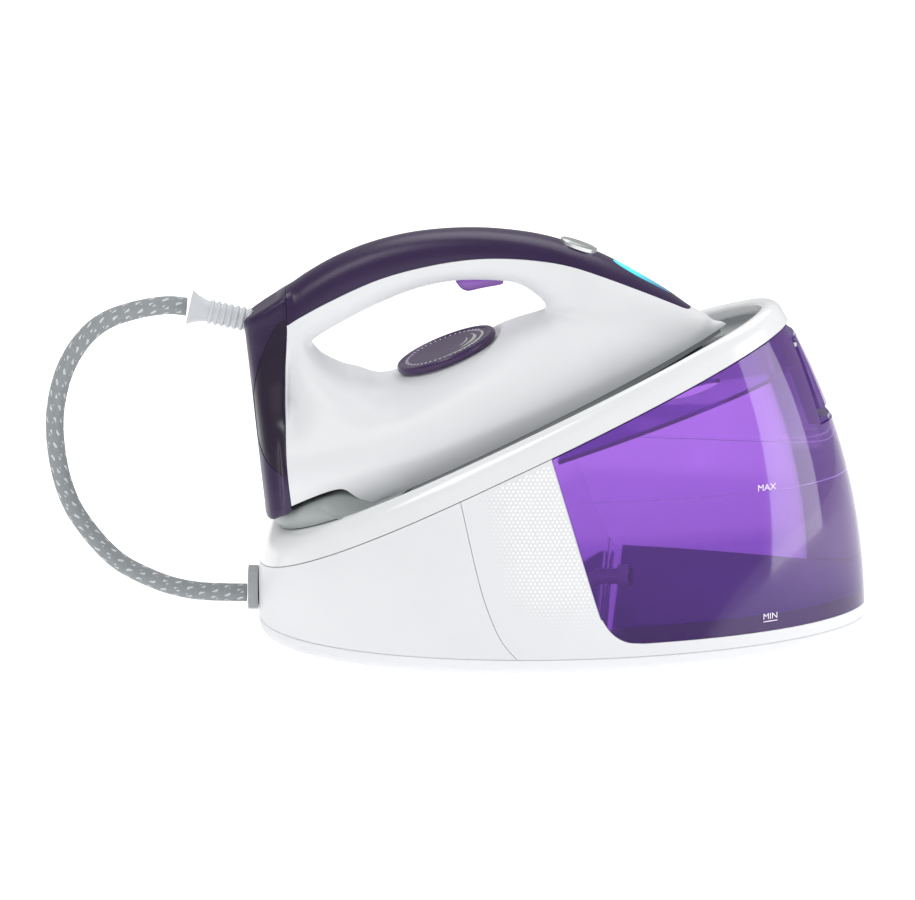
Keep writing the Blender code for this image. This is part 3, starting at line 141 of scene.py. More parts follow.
HOSE_RADIUS = 0.0054
HOSE_ROUTE = [
    (-0.1862, 0.0, 0.0240), (-0.1990, 0.0, 0.0242), (-0.2158, 0.0, 0.0251), (-0.2326, 0.0, 0.0286),
    (-0.2494, 0.0, 0.0355), (-0.2628, 0.0, 0.0433), (-0.2737, 0.0, 0.0538), (-0.2831, 0.0, 0.0658),
    (-0.2905, 0.0, 0.0780), (-0.2956, 0.0, 0.0919), (-0.2986, 0.0, 0.1057), (-0.3001, 0.0, 0.1196),
    (-0.3001, 0.0, 0.1335), (-0.2980, 0.0, 0.1474), (-0.2938, 0.0, 0.1614), (-0.2871, 0.0, 0.1743),
    (-0.2779, 0.0, 0.1855), (-0.2662, 0.0, 0.1934), (-0.2494, 0.0, 0.1989), (-0.2326, 0.0, 0.2015),
    (-0.2206, 0.0, 0.2006),
]

# ---------------------------------------------------------------- fineness of the visual meshes
SKIN_STEP = 0.0015  # grid step of the iron's moulded skin
SKIN_LOW, SKIN_HIGH = (-0.1310, -0.0660, -0.0010), (0.1760, 0.0660, 0.1460)  # the grid's corners
AROUND = 200  # points round a base outline

# ---------------------------------------------------------------- stage, camera and lights
WORLD_STRENGTH, FLOOR_GLOW = 0.45, 0.45
FLOOR_HALF = 6.0
CAMERA_DISTANCE, CAMERA_RISE = 3.8, radians(14.5)
CAMERA_AIM, VIEW_WIDTH, SENSOR = Vector((-0.0595, 0, 0.1125)), 0.5476, 36.0
LIGHTS = [  # name, place, what it faces, width, height, power
    ("key", (-1.0, -1.1, 1.9), (0, 0, 0.1), 0.9, 0.9, 12),
    ("tank_band", (1.51, -0.52, 0.35), (0.1, 0, 0.1), 0.80, 1.2, 9),
    ("top", (0.1, 0.7, 1.9), (0, 0, 0.1), 1.6, 1.6, 19),
]


# ---------------------------------------------------------------- the dock's own frame
SQUARE_TO_DOCK = Vector((-sin(DOCK_SLOPE), 0, cos(DOCK_SLOPE)))
DOCK = Matrix.Translation((-SOLE_LEVEL * sin(DOCK_SLOPE), 0, SOLE_LEVEL * cos(DOCK_SLOPE)))
DOCK = DOCK @ Matrix.Rotation(-DOCK_SLOPE, 4, "Y")


# ---------------------------------------------------------------- small maths
def smooth_step(low, high, value):
    """0 below low, 1 above high and a smooth rise between them."""
    t = np.clip((value - low) / (high - low), 0.0, 1.0)
    return t * t * (3 - 2 * t)


def read(table, key):
    """Straight-line reading of a table of (key, value) pairs."""
    keys, values = zip(*sorted(table))
    return np.interp(key, keys, values)


def curve_through(points, per_step=8):
    """More rows on a smooth curve through rows of numbers."""
    points = np.asarray(points, float)
    ends = np.vstack([2 * points[0] - points[1], points, 2 * points[-1] - points[-2]])
    rows = []
    for p0, p1, p2, p3 in zip(ends, ends[1:], ends[2:], ends[3:]):
        for k in range(per_step):
            t = k / per_step
            rows.append(0.5 * (2 * p1 + (p2 - p0) * t + (2 * p0 - 5 * p1 + 4 * p2 - p3) * t ** 2
                               + (3 * p1 - p0 - 3 * p2 + p3) * t ** 3))
    rows.append(points[-1])
    return np.array(rows)


def superellipse(angle, half_x, half_y, fullness):
    """A point of an oval; fullness 2 is an ellipse, more is squarer."""
    c, s = cos(angle), sin(angle)
    x = half_x * abs(c) ** (2 / fullness) * (1 if c >= 0 else -1)
    y = half_y * abs(s) ** (2 / fullness) * (1 if s >= 0 else -1)
    return x, y


def read_smooth(table, key):
    """Like read, on a smooth curve through the table's points."""
    return read([tuple(row) for row in curve_through(sorted(table), 6)], key)


def soft_union(a, b, radius):
    """Joins two fields that are negative inside, with a fillet of about this radius."""
    h = np.clip(0.5 + 0.5 * (b - a) / radius, 0, 1)
    return b + (a - b) * h - radius * h * (1 - h)


def soft_cut(a, b, radius):
    return -soft_union(-a, -b, radius)


def leaning(place, lean):
    """The frame of a control that leans forward in the dock frame."""
    return DOCK @ Matrix.Translation(place) @ Matrix.Rotation(lean, 4, "Y")


# ---------------------------------------------------------------- mesh tools
def placed(name, data):
    obj = bpy.data.objects.new(name, data)
    bpy.context.scene.collection.objects.link(obj)
    return obj


def new_piece(name, vertices, faces, look, body=None, smooth=35):
    """A mesh object with one material, shaded smooth except over sharp edges."""
    mesh = bpy.data.meshes.new(name)
    mesh.from_pydata([tuple(v) for v in vertices], [], [tuple(f) for f in faces])
    mesh.validate()
    return finish_piece(placed(name, mesh), look, body, smooth)


def finish_piece(obj, look, body, smooth=35):
    """Sets the look, the shading and the body that a piece moves with."""
    obj.data.materials.clear()
    if look:
        obj.data.materials.append(look)
    obj.data.shade_smooth()
    obj.data.set_sharp_from_angle(angle=radians(smooth))
    if body:
        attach(obj, body)
    return obj


def outward(obj):
    bm = bmesh.new()
    bm.from_mesh(obj.data)
    bmesh.ops.recalc_face_normals(bm, faces=bm.faces)
    bm.to_mesh(obj.data)
    bm.free()
    return obj


def rows_mesh(rows, closed_rows=True, caps=True, closed_ends=False):
    """Vertices and faces of a skin over rows of equal point count."""
    count = len(rows[0])
    vertices = [p for row in rows for p in row]
    faces = []
    last = len(rows) if closed_ends else len(rows) - 1
    for r in range(last):
        low, high = r * count, ((r + 1) % len(rows)) * count
        for i in range(count if closed_rows else count - 1):
            j = (i + 1) % count
            faces.append((low + i, low + j, high + j, high + i))
    if caps and not closed_ends:
        faces.append(tuple(range(count))[::-1])
        faces.append(tuple(range(len(vertices) - count, len(vertices))))
    return vertices, faces


def loft(name, rows, look=None, body=None, smooth=35, **how):
    return outward(new_piece(name, *rows_mesh(rows, **how), look, body, smooth))


def prism(name, outline, half_width):
    """A side outline of (x, z) points, drawn out to both sides."""
    return loft(name, [[Vector((x, side * half_width, z)) for x, z in outline] for side in (-1, 1)])


def turned(name, profile, matrix, look=None, body=None, segments=64, smooth=30):
    """A closed profile of (radius, height) pairs turned about the matrix's z axis."""
    rows = []
    for radius, height in profile:
        r = max(radius, 1e-5)
        turns = [2 * pi * k / segments for k in range(segments)]
        rows.append([matrix @ Vector((r * cos(turn), r * sin(turn), height)) for turn in turns])
    closed = profile[0][0] > 0 and profile[-1][0] > 0
    return loft(name, rows, look, body, smooth, closed_ends=closed)


def apply_modifiers(obj):
    depsgraph = bpy.context.evaluated_depsgraph_get()
    mesh = bpy.data.meshes.new_from_object(obj.evaluated_get(depsgraph))
    obj.modifiers.clear()
    obj.data = mesh
    return obj


def carve(obj, tool, operation="DIFFERENCE"):
    """Applies an exact boolean and removes the tool."""
    modifier = obj.modifiers.new("carve", "BOOLEAN")
    modifier.operation = operation
    modifier.solver = "EXACT"
    modifier.object = tool
    bpy.context.view_layer.update()
    apply_modifiers(obj)
    bpy.data.objects.remove(tool)
    return obj


def thicken(obj, thickness):
    modifier = obj.modifiers.new("wall", "SOLIDIFY")
    modifier.thickness = thickness
    modifier.offset = -1
    modifier.use_quality_normals = True
    return apply_modifiers(obj)


def edges_of(triangles):
    return np.vstack([triangles[:, [0, 1]], triangles[:, [1, 2]], triangles[:, [2, 0]]])


def clip(points, triangles, level):
    """The part of a triangle mesh where level(points) < 0, cut exactly along level = 0."""
    points = points.copy()
    values = level(points)
    a, b = edges_of(triangles).T
    crossing = values[a] * values[b] < 0
    a, b = a[crossing], b[crossing]
    share = values[a] / (values[a] - values[b])
    near = share < 0.3  # these points are moved onto the line instead of leaving thin slivers
    points[a[near]] = points[a[near]] + (points[b[near]] - points[a[near]]) * share[near, None]
    values[a[near]] = 0.0
    inside = values <= 0
    whole = triangles[inside[triangles].all(1)]
    mixed = triangles[inside[triangles].any(1) & ~inside[triangles].all(1)]
    extra, made, faces = [], {}, [tuple(t) for t in whole]
    for tri in mixed:
        ring = []
        for i, j in zip(tri, np.roll(tri, -1)):
            if values[i] <= 0:
                ring.append(i)
            if values[i] * values[j] < 0:
                key = (min(i, j), max(i, j))
                if key not in made:
                    t = values[i] / (values[i] - values[j])
                    made[key] = len(points) + len(extra)
                    extra.append(points[i] + (points[j] - points[i]) * t)
                ring.append(made[key])
        for k in range(1, len(ring) - 1):
            faces.append((ring[0], ring[k], ring[k + 1]))
    all_points = np.vstack([points, extra]) if extra else points
    faces = np.array([f for f in faces if len(set(f)) == 3])
    used = np.unique(faces)
    index = np.zeros(len(all_points), int)
    index[used] = np.arange(len(used))
    return all_points[used], index[faces]


# ---------------------------------------------------------------- materials
def plug(tree, node, inputs):
    """Fills a node's inputs with values, or with links from other nodes' outputs."""
    for key, value in inputs.items():
        if isinstance(value, bpy.types.NodeSocket):
            tree.links.new(value, node.inputs[key])
        else:
            node.inputs[key].default_value = value
    return node


def add_node(tree, kind, inputs, **settings):
    node = tree.nodes.new("ShaderNode" + kind)
    for key, value in settings.items():
        setattr(node, key, value)
    return plug(tree, node, inputs)


def share_of(tree, value, low, high):
    """Runs from 0 to 1 while the value goes from low to high."""
    return add_node(tree, "MapRange", {"Value": value, "From Min": low, "From Max": high}).outputs["Result"]


def math_of(tree, operation, first, second):
    return add_node(tree, "Math", {0: first, 1: second}, operation=operation).outputs["Value"]


def mix_of(tree, share, first, second):
    mix = add_node(tree, "Mix", {"Factor": share, "A": first, "B": second}, data_type="RGBA")
    return mix.outputs["Result"]


def colour_ramp(tree, value, stops):
    """Turns a value into a colour by (position, colour) stops."""
    ramp = add_node(tree, "ValToRGB", {"Fac": value})
    elements = ramp.color_ramp.elements
    for element, (position, colour) in zip(elements, (stops[0], stops[-1])):
        element.position, element.color = position, (*colour, 1)
    for position, colour in stops[1:-1]:
        elements.new(position).color = (*colour, 1)
    return ramp.outputs["Color"]


def shading(material):
    tree = material.node_tree
    return tree, tree.nodes["Principled BSDF"]


def object_place(tree):
    """Outputs X, Y and Z of the place on the piece."""
    where = add_node(tree, "TexCoord", {}).outputs["Object"]
    return add_node(tree, "SeparateXYZ", {"Vector": where}).outputs


def look(name, slot, colour, roughness, grain=0.0, grain_size=0.001, mottle=0.03, metallic=0.0, coat=0.0,
         transmission=0.0, ior=1.5, glow=None, cells=False):
    """Moulded plastic, rubber or metal: a fine surface grain, a little uneven gloss and tone."""
    material = bpy.data.materials.new(name)
    material.use_nodes = True
    material["slot"] = slot
    tree, shader = shading(material)
    where = add_node(tree, "TexCoord", {}).outputs["Object"]
    cloud = add_node(tree, "TexNoise", {"Vector": where, "Scale": 28.0, "Detail": 5.0}).outputs["Fac"]
    darker = [max(0.0, c * (1 - mottle)) for c in colour]
    paler = [min(1.0, c * (1 + mottle)) for c in colour]
    smooth, dull = roughness * 0.88, roughness * 1.12
    gloss = add_node(tree, "MapRange", {"Value": cloud, "To Min": smooth, "To Max": dull})
    plug(tree, shader, {
        "Base Color": colour_ramp(tree, cloud, [(0.3, darker), (0.7, paler)]),
        "Roughness": gloss.outputs["Result"],
        "Metallic": metallic,
        "IOR": ior,
        "Coat Weight": coat,
        "Coat Roughness": 0.08,
        "Transmission Weight": transmission,
    })
    if grain:
        kind, height = ("TexVoronoi", "Distance") if cells else ("TexNoise", "Fac")
        texture = add_node(tree, kind, {"Vector": where, "Scale": 1.0 / grain_size})
        bump = add_node(tree, "Bump", {"Height": texture.outputs[height], "Distance": grain, "Strength": 1.0})
        plug(tree, shader, {"Normal": bump.outputs["Normal"]})
    if glow:
        light, strength = glow
        plug(tree, shader, {"Emission Color": (*light, 1), "Emission Strength": strength})
    material.diffuse_color = (*colour, 1)
    return material


# name, slot, colour, roughness, then the grain's depth and size and the unevenness of tone
LOOKS = {
    "white": ("white_gloss_plastic", "white_plastic", (0.83, 0.84, 0.86), 0.42, 0.00001, 0.0006, 0.012),
    "rim": ("white_rim_plastic", "white_plastic", (0.86, 0.87, 0.88), 0.18, 0.000008, 0.0005, 0.01),
    "grey": ("grey_satin_plastic", "grey_plastic", (0.36, 0.38, 0.39), 0.42, 0.00002, 0.0005),
    "purple": ("aubergine_soft_plastic", "dark_purple_plastic", (0.024, 0.008, 0.056), 0.36, 0.00006, 0.0011,
               0.10),
    "dial": ("dial_plastic", "dark_purple_plastic", (0.045, 0.018, 0.085), 0.30, 0.00002, 0.0005, 0.06),
    "inset": ("aubergine_inset_plastic", "deep_purple_plastic", (0.014, 0.006, 0.026), 0.30, 0.00003, 0.0008,
              0.08),
    "trigger": ("violet_clear_trigger", "violet_clear_plastic", (0.36, 0.14, 0.62), 0.12, 0.00001, 0.0008,
                0.05),
    "silver": ("satin_silver_paint", "silver_plastic", (0.44, 0.46, 0.46), 0.30, 0.000006, 0.0003),
    "silver_rim": ("bright_silver_ring", "silver_plastic", (0.78, 0.80, 0.80), 0.16, 0.000004, 0.0003),
    "rubber": ("dark_rubber_foot", "dark_rubber", (0.025, 0.025, 0.027), 0.75, 0.00004, 0.0004, 0.1),
    "silicone": ("grey_green_silicone", "grey_silicone", (0.36, 0.39, 0.39), 0.38, 0.00002, 0.0005, 0.05),
    "relief": ("pale_grey_boot", "pale_grey_rubber", (0.62, 0.64, 0.67), 0.42, 0.00002, 0.0004, 0.04),
    "steel": ("drawn_steel", "steel", (0.58, 0.58, 0.59), 0.28, 0.000006, 0.0002),
    "sole": ("ceramic_sole", "soleplate_ceramic", (0.26, 0.25, 0.30), 0.22, 0.000004, 0.0003, 0.06),
    "cast": ("cast_aluminium_grain", "cast_aluminium", (0.50, 0.51, 0.52), 0.48, 0.00006, 0.0007),
    "copper": ("enamelled_copper", "copper", (0.58, 0.25, 0.13), 0.30, 0.00008, 0.0004),
    "board": ("green_board", "circuit_board", (0.02, 0.16, 0.07), 0.40, 0.00002, 0.0010, 0.25),
    "black": ("black_moulded_plastic", "black_plastic", (0.016, 0.016, 0.018), 0.42, 0.00003, 0.0005, 0.1),
    "tubing": ("milky_silicone_tube", "silicone_tubing", (0.66, 0.64, 0.58), 0.35, 0.00001, 0.0006),
    "dots": ("pearl_dots", "white_plastic", (0.95, 0.96, 0.97), 0.22, 0.000004, 0.0003, 0.01),
    # opaque dark violet for the sheet low in the tank: painted shade
    "tank_deep": ("deep_violet_floor", "purple_clear_plastic", (0.20, 0.06, 0.46), 0.25, 0.0, 0.001, 0.05),
    "tank_deep_clear": ("deep_violet_clear", "purple_clear_plastic", (0.22, 0.07, 0.50), 0.15, 0.0, 0.001,
                        0.05),
    "level": ("pale_level_line", "grey_plastic", (0.80, 0.68, 0.95), 0.4, 0.000004, 0.0004),
    "mark": ("pale_violet_print", "grey_plastic", (0.86, 0.80, 0.95), 0.4, 0.000004, 0.0004),
}
FINISHES = {
    "white": {"coat": 0.06}, "rim": {"coat": 0.4}, "purple": {"cells": True}, "trigger": {"transmission": 0.5},
    "silver": {"metallic": 0.55}, "silver_rim": {"metallic": 0.8}, "steel": {"metallic": 1.0},
    "sole": {"metallic": 0.7}, "cast": {"metallic": 1.0}, "copper": {"metallic": 1.0},
    # the faint glow on the pearl dots is painted light: they are no lamp
    "tubing": {"transmission": 0.3}, "dots": {"coat": 0.3, "glow": ((1.0, 1.0, 1.0), 0.10)},
    # the glow on the level line and on the print is painted light: neither is a lamp
    "tank_deep_clear": {"transmission": 0.55}, "level": {"glow": ((0.70, 0.52, 0.95), 0.35)},
    "mark": {"glow": ((0.86, 0.78, 0.95), 0.20)},
}


def make_looks():
    looks = {key: look(*row, **FINISHES.get(key, {})) for key, row in LOOKS.items()}
    looks["tank"] = tank_look()
    looks["hose"] = hose_look()
    looks["lens"] = lens_look()
    return looks


def tank_look():
    """Tinted clear plastic, with painted shade that darkens it towards the foot and painted light that makes
    it paler at the nose.
    """
    material = look("violet_tank_plastic", "purple_clear_plastic", (0.40, 0.20, 0.72), 0.05, transmission=0.80,
                    ior=1.46, coat=0.5)
    tree, shader = shading(material)
    place = object_place(tree)
    # painted shade: the ramp darkens the violet towards the foot
    tint = colour_ramp(tree, share_of(tree, place["Z"], 0.02, 0.20), [
        (0.0, (0.19, 0.060, 0.47)), (0.30, (0.24, 0.075, 0.56)), (0.36, (0.36, 0.13, 0.72)),
        (1.0, (0.42, 0.16, 0.78)),
    ])
    # painted light: a paler violet over the upper nose
    forward = share_of(tree, place["X"], 0.120, 0.165)
    raised = share_of(tree, place["Z"], 0.030, 0.060)
    nose = math_of(tree, "MULTIPLY", forward, raised)
    plug(tree, shader, {"Base Color": mix_of(tree, nose, tint, (0.62, 0.36, 0.92, 1))})
    return material


def lens_look():
    """Light window, bright cyan at its upper end and navy at its foot."""
    material = look("cyan_light_window", "cyan_lens", (0.02, 0.30, 0.42), 0.15, 0.00001, 0.0006,
                    glow=((0.03, 0.55, 0.70), 0.50))
    tree, shader = shading(material)
    tint = colour_ramp(tree, share_of(tree, object_place(tree)["Z"], 0.203, 0.226), [
        (0.10, (0.010, 0.030, 0.130)), (0.45, (0.01, 0.20, 0.38)), (0.85, (0.04, 0.68, 0.80)),
    ])
    plug(tree, shader, {"Base Color": tint, "Emission Color": tint})
    return material


def hose_look():
    """Woven sleeve: fine diagonal strands, with rows of short pale flecks."""
    material = look("braided_hose_sleeve", "grey_braid", (0.42, 0.45, 0.47), 0.75, mottle=0.05)
    tree, shader = shading(material)
    along = add_node(tree, "UVMap", {}, uv_map="along").outputs["UV"]

    def stretched(scale, turn=0.0):
        mapping = add_node(tree, "Mapping", {"Vector": along, "Scale": scale, "Rotation": (0, 0, turn)})
        return mapping.outputs["Vector"]

    def pattern(vector, mortar, row, colours):
        shape = {"Scale": 1.0, "Brick Width": 1.0, "Row Height": row}
        gaps = {"Mortar Size": mortar, "Mortar Smooth": 0.6}
        return add_node(tree, "TexBrick", {"Vector": vector, **shape, **gaps, **colours})

    strands = pattern(stretched((30.0, 1500.0, 1.0), radians(38)), 0.10, 0.5, {
        "Color1": (0.40, 0.43, 0.45, 1), "Color2": (0.48, 0.51, 0.53, 1), "Mortar": (0.32, 0.35, 0.37, 1),
    })
    flecks = pattern(stretched((7.0, 130.0, 1.0)), 0.36, 1.0, {})
    fine = stretched((7.0, 110.0, 1.0))
    slashes = add_node(tree, "TexWave", {"Vector": fine, "Scale": 1.0}, bands_direction="DIAGONAL")
    inside = math_of(tree, "LESS_THAN", flecks.outputs["Fac"], 0.4)
    stripe = math_of(tree, "GREATER_THAN", slashes.outputs["Fac"], 0.45)
    both = math_of(tree, "MULTIPLY", inside, stripe)
    bump = add_node(tree, "Bump", {"Height": strands.outputs["Fac"], "Distance": 0.0002}, invert=True)
    plug(tree, shader, {
        "Base Color": mix_of(tree, both, strands.outputs["Color"], (0.85, 0.87, 0.88, 1)),
        "Normal": bump.outputs["Normal"],
    })
    return material


# ---------------------------------------------------------------- base surfaces
def base_point(angle, z, inset=0.0):
    """A point of the base's outer surface at height z; angle 0 is the nose."""
    half_y = BASE_HALF_WIDTH - SIDE_LEAN * (z - PLATE_TOP) - inset
    if cos(angle) >= 0:
        half_x = BASE_FRONT - FRONT_LEAN * max(z, 0) ** FRONT_POWER - BASE_WIDEST_X - inset
        fullness = FRONT_FULLNESS + FRONT_FULLNESS_RISE * z
    else:
        half_x = BASE_WIDEST_X - BASE_REAR - REAR_LEAN * max(0, z - REAR_STRAIGHT_TO) ** 2 - inset
        fullness = REAR_FULLNESS + REAR_FULLNESS_RISE * max(0, z - PLATE_TOP)
    x, y = superellipse(angle, max(half_x, 0.03), half_y, fullness)
    return Vector((BASE_WIDEST_X + x, y, z))


def dock_height(x, above_seam=0.0):
    """Height of the sloping seam under the dock's rim."""
    return SEAM_AT_X0 + tan(DOCK_SLOPE) * x + above_seam


def level_height(x, level):
    """Height of a plane parallel to the dock at this distance from the origin."""
    return (level + x * sin(DOCK_SLOPE)) / cos(DOCK_SLOPE)


def point_on(angle, height_at, inset=0.0):
    """The point at this angle where the base's surface meets a height that varies with x."""
    z = 0.1
    for _ in range(24):
        z = 0.5 * (z + height_at(base_point(angle, z, inset).x))
    return base_point(angle, z, inset)


def angles(count=AROUND):
    return [2 * pi * (k + 0.5) / count for k in range(count)]


def base_block(name, bottom, top_at, inset, levels=26):
    """A solid inside the base's outer surface, from a level bottom up to a height that varies with x."""
    heights = [point_on(a, top_at, inset).z - bottom for a in angles()]
    rows = []
    for k in range(levels + 1):
        share = k / levels
        rows.append([base_point(a, bottom + share * height, inset) for a, height in zip(angles(), heights)])
    return loft(name, rows)


def offset_outline(points, distance):
    """An open outline moved square to itself, to the right of its direction."""
    moved = []
    for i, point in enumerate(points):
        before = Vector(points[max(i - 1, 0)])
        after = Vector(points[min(i + 1, len(points) - 1)])
        along = (after - before).normalized()
        moved.append((point[0] + along.y * distance, point[1] - along.x * distance))
    return moved


def fine_edge(table):
    return [tuple(p) for p in curve_through(table, 5)]


def housing_zone(gap):
    """Everything behind the rear housing's edge."""
    edge = offset_outline(fine_edge(HOUSING_EDGE), gap)
    start, end = [(-0.3, 0.25), (edge[0][0], 0.25)], [(edge[-1][0], -0.05), (-0.3, -0.05)]
    return prism("zone", start + edge + end, 0.2)


def tank_zone(grow):
    """Everything ahead of the tank's edge."""
    edge = offset_outline(fine_edge(TANK_EDGE), grow)
    return prism("zone", [(edge[0][0], 0.32)] + edge + [(0.3, edge[-1][1]), (0.3, 0.32)], 0.2)


# ---------------------------------------------------------------- base pieces
def add_bottom_plate(looks):
    profile = [(FOOT_HEIGHT, 0.0075), (FOOT_HEIGHT, 0.0055), (FOOT_HEIGHT + 0.0004, 0.0040),
               (FOOT_HEIGHT + 0.0014, 0.0024), (FOOT_HEIGHT + 0.0032, 0.0011), (FOOT_HEIGHT + 0.0055, 0.0003),
               (PLATE_TOP - 0.0008, 0.0), (PLATE_TOP - 0.0003, 0.0004), (PLATE_TOP - 0.0003, 0.0040)]
    rows = []
    for z, inset in profile:
        row = [base_point(a, PLATE_TOP, inset) for a in angles()]
        rows.append([Vector((p.x, p.y, z)) for p in row])
    plate = loft("bottom_plate_shell", rows, looks["white"], "base", 40)
    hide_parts("bottom_plate")


def add_rear_housing(looks):
    housing = base_block("rear_housing_shell", PLATE_TOP, lambda x: dock_height(x, -0.0004), 0.0)
    carve(housing, housing_zone(0.0), "INTERSECT")
    carve(housing, base_block("hollow", PLATE_TOP - 0.01, lambda x: dock_height(x, 0.02), WALL))
    finish_piece(housing, looks["white"], "base")
    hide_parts("rear_housing")


def add_tank_cradle(looks):
    cradle = base_block("tank_cradle_shell", PLATE_TOP, lambda x: dock_height(x, -0.0004), 0.0)
    carve(cradle, housing_zone(-SEAM))
    carve(cradle, tank_zone(SEAM))
    hollow = base_block("hollow", PLATE_TOP - 0.01, lambda x: dock_height(x, 0.02), WALL)
    behind = offset_outline(fine_edge(TANK_EDGE), SEAM + WALL)
    outline = [(-0.3, 0.25), (behind[0][0], 0.25)] + behind + [(behind[-1][0], -0.05), (-0.3, -0.05)]
    carve(hollow, prism("zone", outline, 0.2), "INTERSECT")
    carve(cradle, hollow)
    finish_piece(cradle, looks["white"], "base")
    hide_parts("tank_cradle")


def rim_row(angle):
    """The rim's cross-section at one angle: a soft outer shoulder, round top and inner wall."""
    foot = point_on(angle, lambda x: dock_height(x))
    nose = float(smooth_step(0.085, 0.130, foot.x))
    height = RIM_HEIGHT + (RIM_NOSE_HEIGHT - RIM_HEIGHT) * nose
    shoulder_in = 0.0058 + 0.0020 * nose
    inner = 0.0106 + 0.0020 * nose
    steps = [(0.0002, 0.0), (0.25 * height, 0.0001)]
    for k in range(9):
        turn = pi / 2 * k / 8
        steps.append((height * (0.45 + 0.55 * sin(turn)), 0.0002 + shoulder_in * (1 - cos(turn))))
    for k in range(6):
        turn = pi / 2 * k / 5
        across = inner - shoulder_in - 0.0004
        steps.append((height - 0.20 * height * (1 - cos(turn)), shoulder_in + 0.0004 + across * sin(turn)))
    steps += [(0.4 * height, inner), (0.0002, inner)]
    return [point_on(angle, lambda x, up=up: dock_height(x, up), inset) for up, inset in steps]


def add_dock_rim(looks):
    rows = [rim_row(a) for a in angles()]
    rim = loft("dock_rim_shell", rows, looks["rim"], "base", 50, closed_ends=True)
    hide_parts("dock_rim")


def add_dock_tray(looks):
    def row(inset, level):
        points = []
        for angle in angles():
            foot = point_on(angle, lambda x: dock_height(x))
            behind_rim = 0.0114 + 0.0020 * float(smooth_step(0.085, 0.130, foot.x))
            points.append(point_on(angle, lambda x: level_height(x, level), behind_rim + inset))
        return points

    floor_top = SOLE_LEVEL - 0.0005
    wall_top = SEAM_LEVEL + 0.0080
    steps = [(0.0, floor_top - WALL), (0.0, wall_top - 0.0004), (0.0004, wall_top), (0.0008, wall_top),
             (0.0012, wall_top - 0.0004), (0.0012, floor_top + 0.0025), (0.0018, floor_top + 0.0008),
             (0.0034, floor_top)]
    tray = loft("dock_tray_shell", [row(*step) for step in steps], looks["grey"], "base", 40)
    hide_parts("dock_tray")


def rest_row(angle):
    """One section of the bolster: inside the rim, over its top, up a round shoulder and across."""
    top = point_on(angle, lambda x: level_height(x, SOLE_LEVEL + 0.0225), 0.0110)
    along = top.x * cos(DOCK_SLOPE) + top.z * sin(DOCK_SLOPE)
    crest = max(0.0060, float(read_smooth(REST_CREST, along)) + 0.0010)
    low = REST_SHOULDER
    steps = [(0.0052, 0.0240), (0.0052, 0.0124), (low - 0.0014, 0.0124), (low - 0.0002, 0.0066),
             (low + 0.0004, 0.0054), (0.5 * (low + crest), 0.0048), (crest - 0.0024, 0.0056),
             (crest - 0.0010, 0.0070), (crest - 0.0003, 0.0092), (crest, 0.0124), (crest, 0.0200),
             (crest - 0.0010, 0.0236)]
    row = []
    for height, inset in steps:
        height = min(height, crest)
        if height > low:
            start = point_on(angle, lambda x: level_height(x, SOLE_LEVEL + low), inset)
            row.append(start + SQUARE_TO_DOCK * (height - low))
        else:
            row.append(point_on(angle, lambda x: level_height(x, SOLE_LEVEL + height), inset))
    return row


def add_heel_rest(looks):
    """Satin bolster round the rear of the dock, sloping down at its two front ends."""
    start = radians(118)
    turns = [start + (2 * pi - 2 * start) * k / 90 for k in range(91)]
    rest = loft("heel_rest_bolster", [rest_row(a) for a in turns], looks["silicone"], "base", 60)
    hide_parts("heel_rest")


def add_tank(looks):
    shell = base_block("tank_clear_shell", TANK_BOTTOM, lambda x: dock_height(x, -0.0007), 0.0, 34)
    carve(shell, tank_zone(0.0), "INTERSECT")
    hollow = base_block("hollow", TANK_BOTTOM + 0.003, lambda x: dock_height(x, 0.02), WALL, 30)
    carve(hollow, tank_zone(-WALL), "INTERSECT")
    carve(shell, hollow)
    carve(shell, lever_pocket_cutter(LEVER_POCKET_DEPTH - WALL))
    finish_piece(shell, looks["tank"], "tank", 30)
    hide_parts("tank_shell")

    def cover_low(x):
        return TANK_COVER_AT_X0 + TANK_COVER_SLOPE * x

    inset = WALL + SEAM
    rows = [[point_on(a, lambda x: cover_low(x) + up, inset) for a in angles()] for up in (0.0, WALL)]
    cover = loft("tank_cover_plate", rows)
    carve(cover, tank_zone(-inset), "INTERSECT")
    carve(cover, turned("hole", [(0, -0.05), (FILLER_RADIUS, -0.05), (FILLER_RADIUS, 0.05), (0, 0.05)],
                        Matrix.Translation((FILLER_X, 0, cover_low(FILLER_X)))))
    carve(cover, lever_pocket_cutter(LEVER_POCKET_DEPTH + SEAM))
    finish_piece(cover, looks["tank"], "tank", 30)
    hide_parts("tank_cover")


def surface_y(x, z):
    """Half width of the base's surface at x and height z."""
    low, high = 0.0, pi
    for _ in range(16):
        middle = (low + high) / 2
        if base_point(middle, z).x > x:
            low = middle
        else:
            high = middle
    return abs(base_point(middle, z).y)


def add_tank_insides(looks):
    """A thin dark violet sheet low in the tank as painted shade, and the pale level line round the wall."""
    # painted shade: an opaque dark sheet where the lower tank lies in shade
    floor = base_block("tank_painted_shade_sheet", 0.0300, lambda x: 0.0312, WALL + 0.0004, 1)
    carve(floor, tank_zone(-WALL - 0.0004), "INTERSECT")
    finish_piece(floor, looks["tank_deep"], "tank")

    height, rows = 0.1017, []
    for angle in angles(400):
        if base_point(angle, height).x > 0.0100:
            row = [base_point(angle, height + up, inset) for up, inset in (
                (0.0, WALL + 0.0001), (0.0004, WALL + 0.0001), (0.0004, WALL + 0.0006), (0.0, WALL + 0.0006))]
            rows.append((angle if angle < pi else angle - 2 * pi, row))
    rows = [row for _, row in sorted(rows, key=lambda pair: pair[0])]
    loft("tank_level_line", rows, looks["level"], "tank", 60)


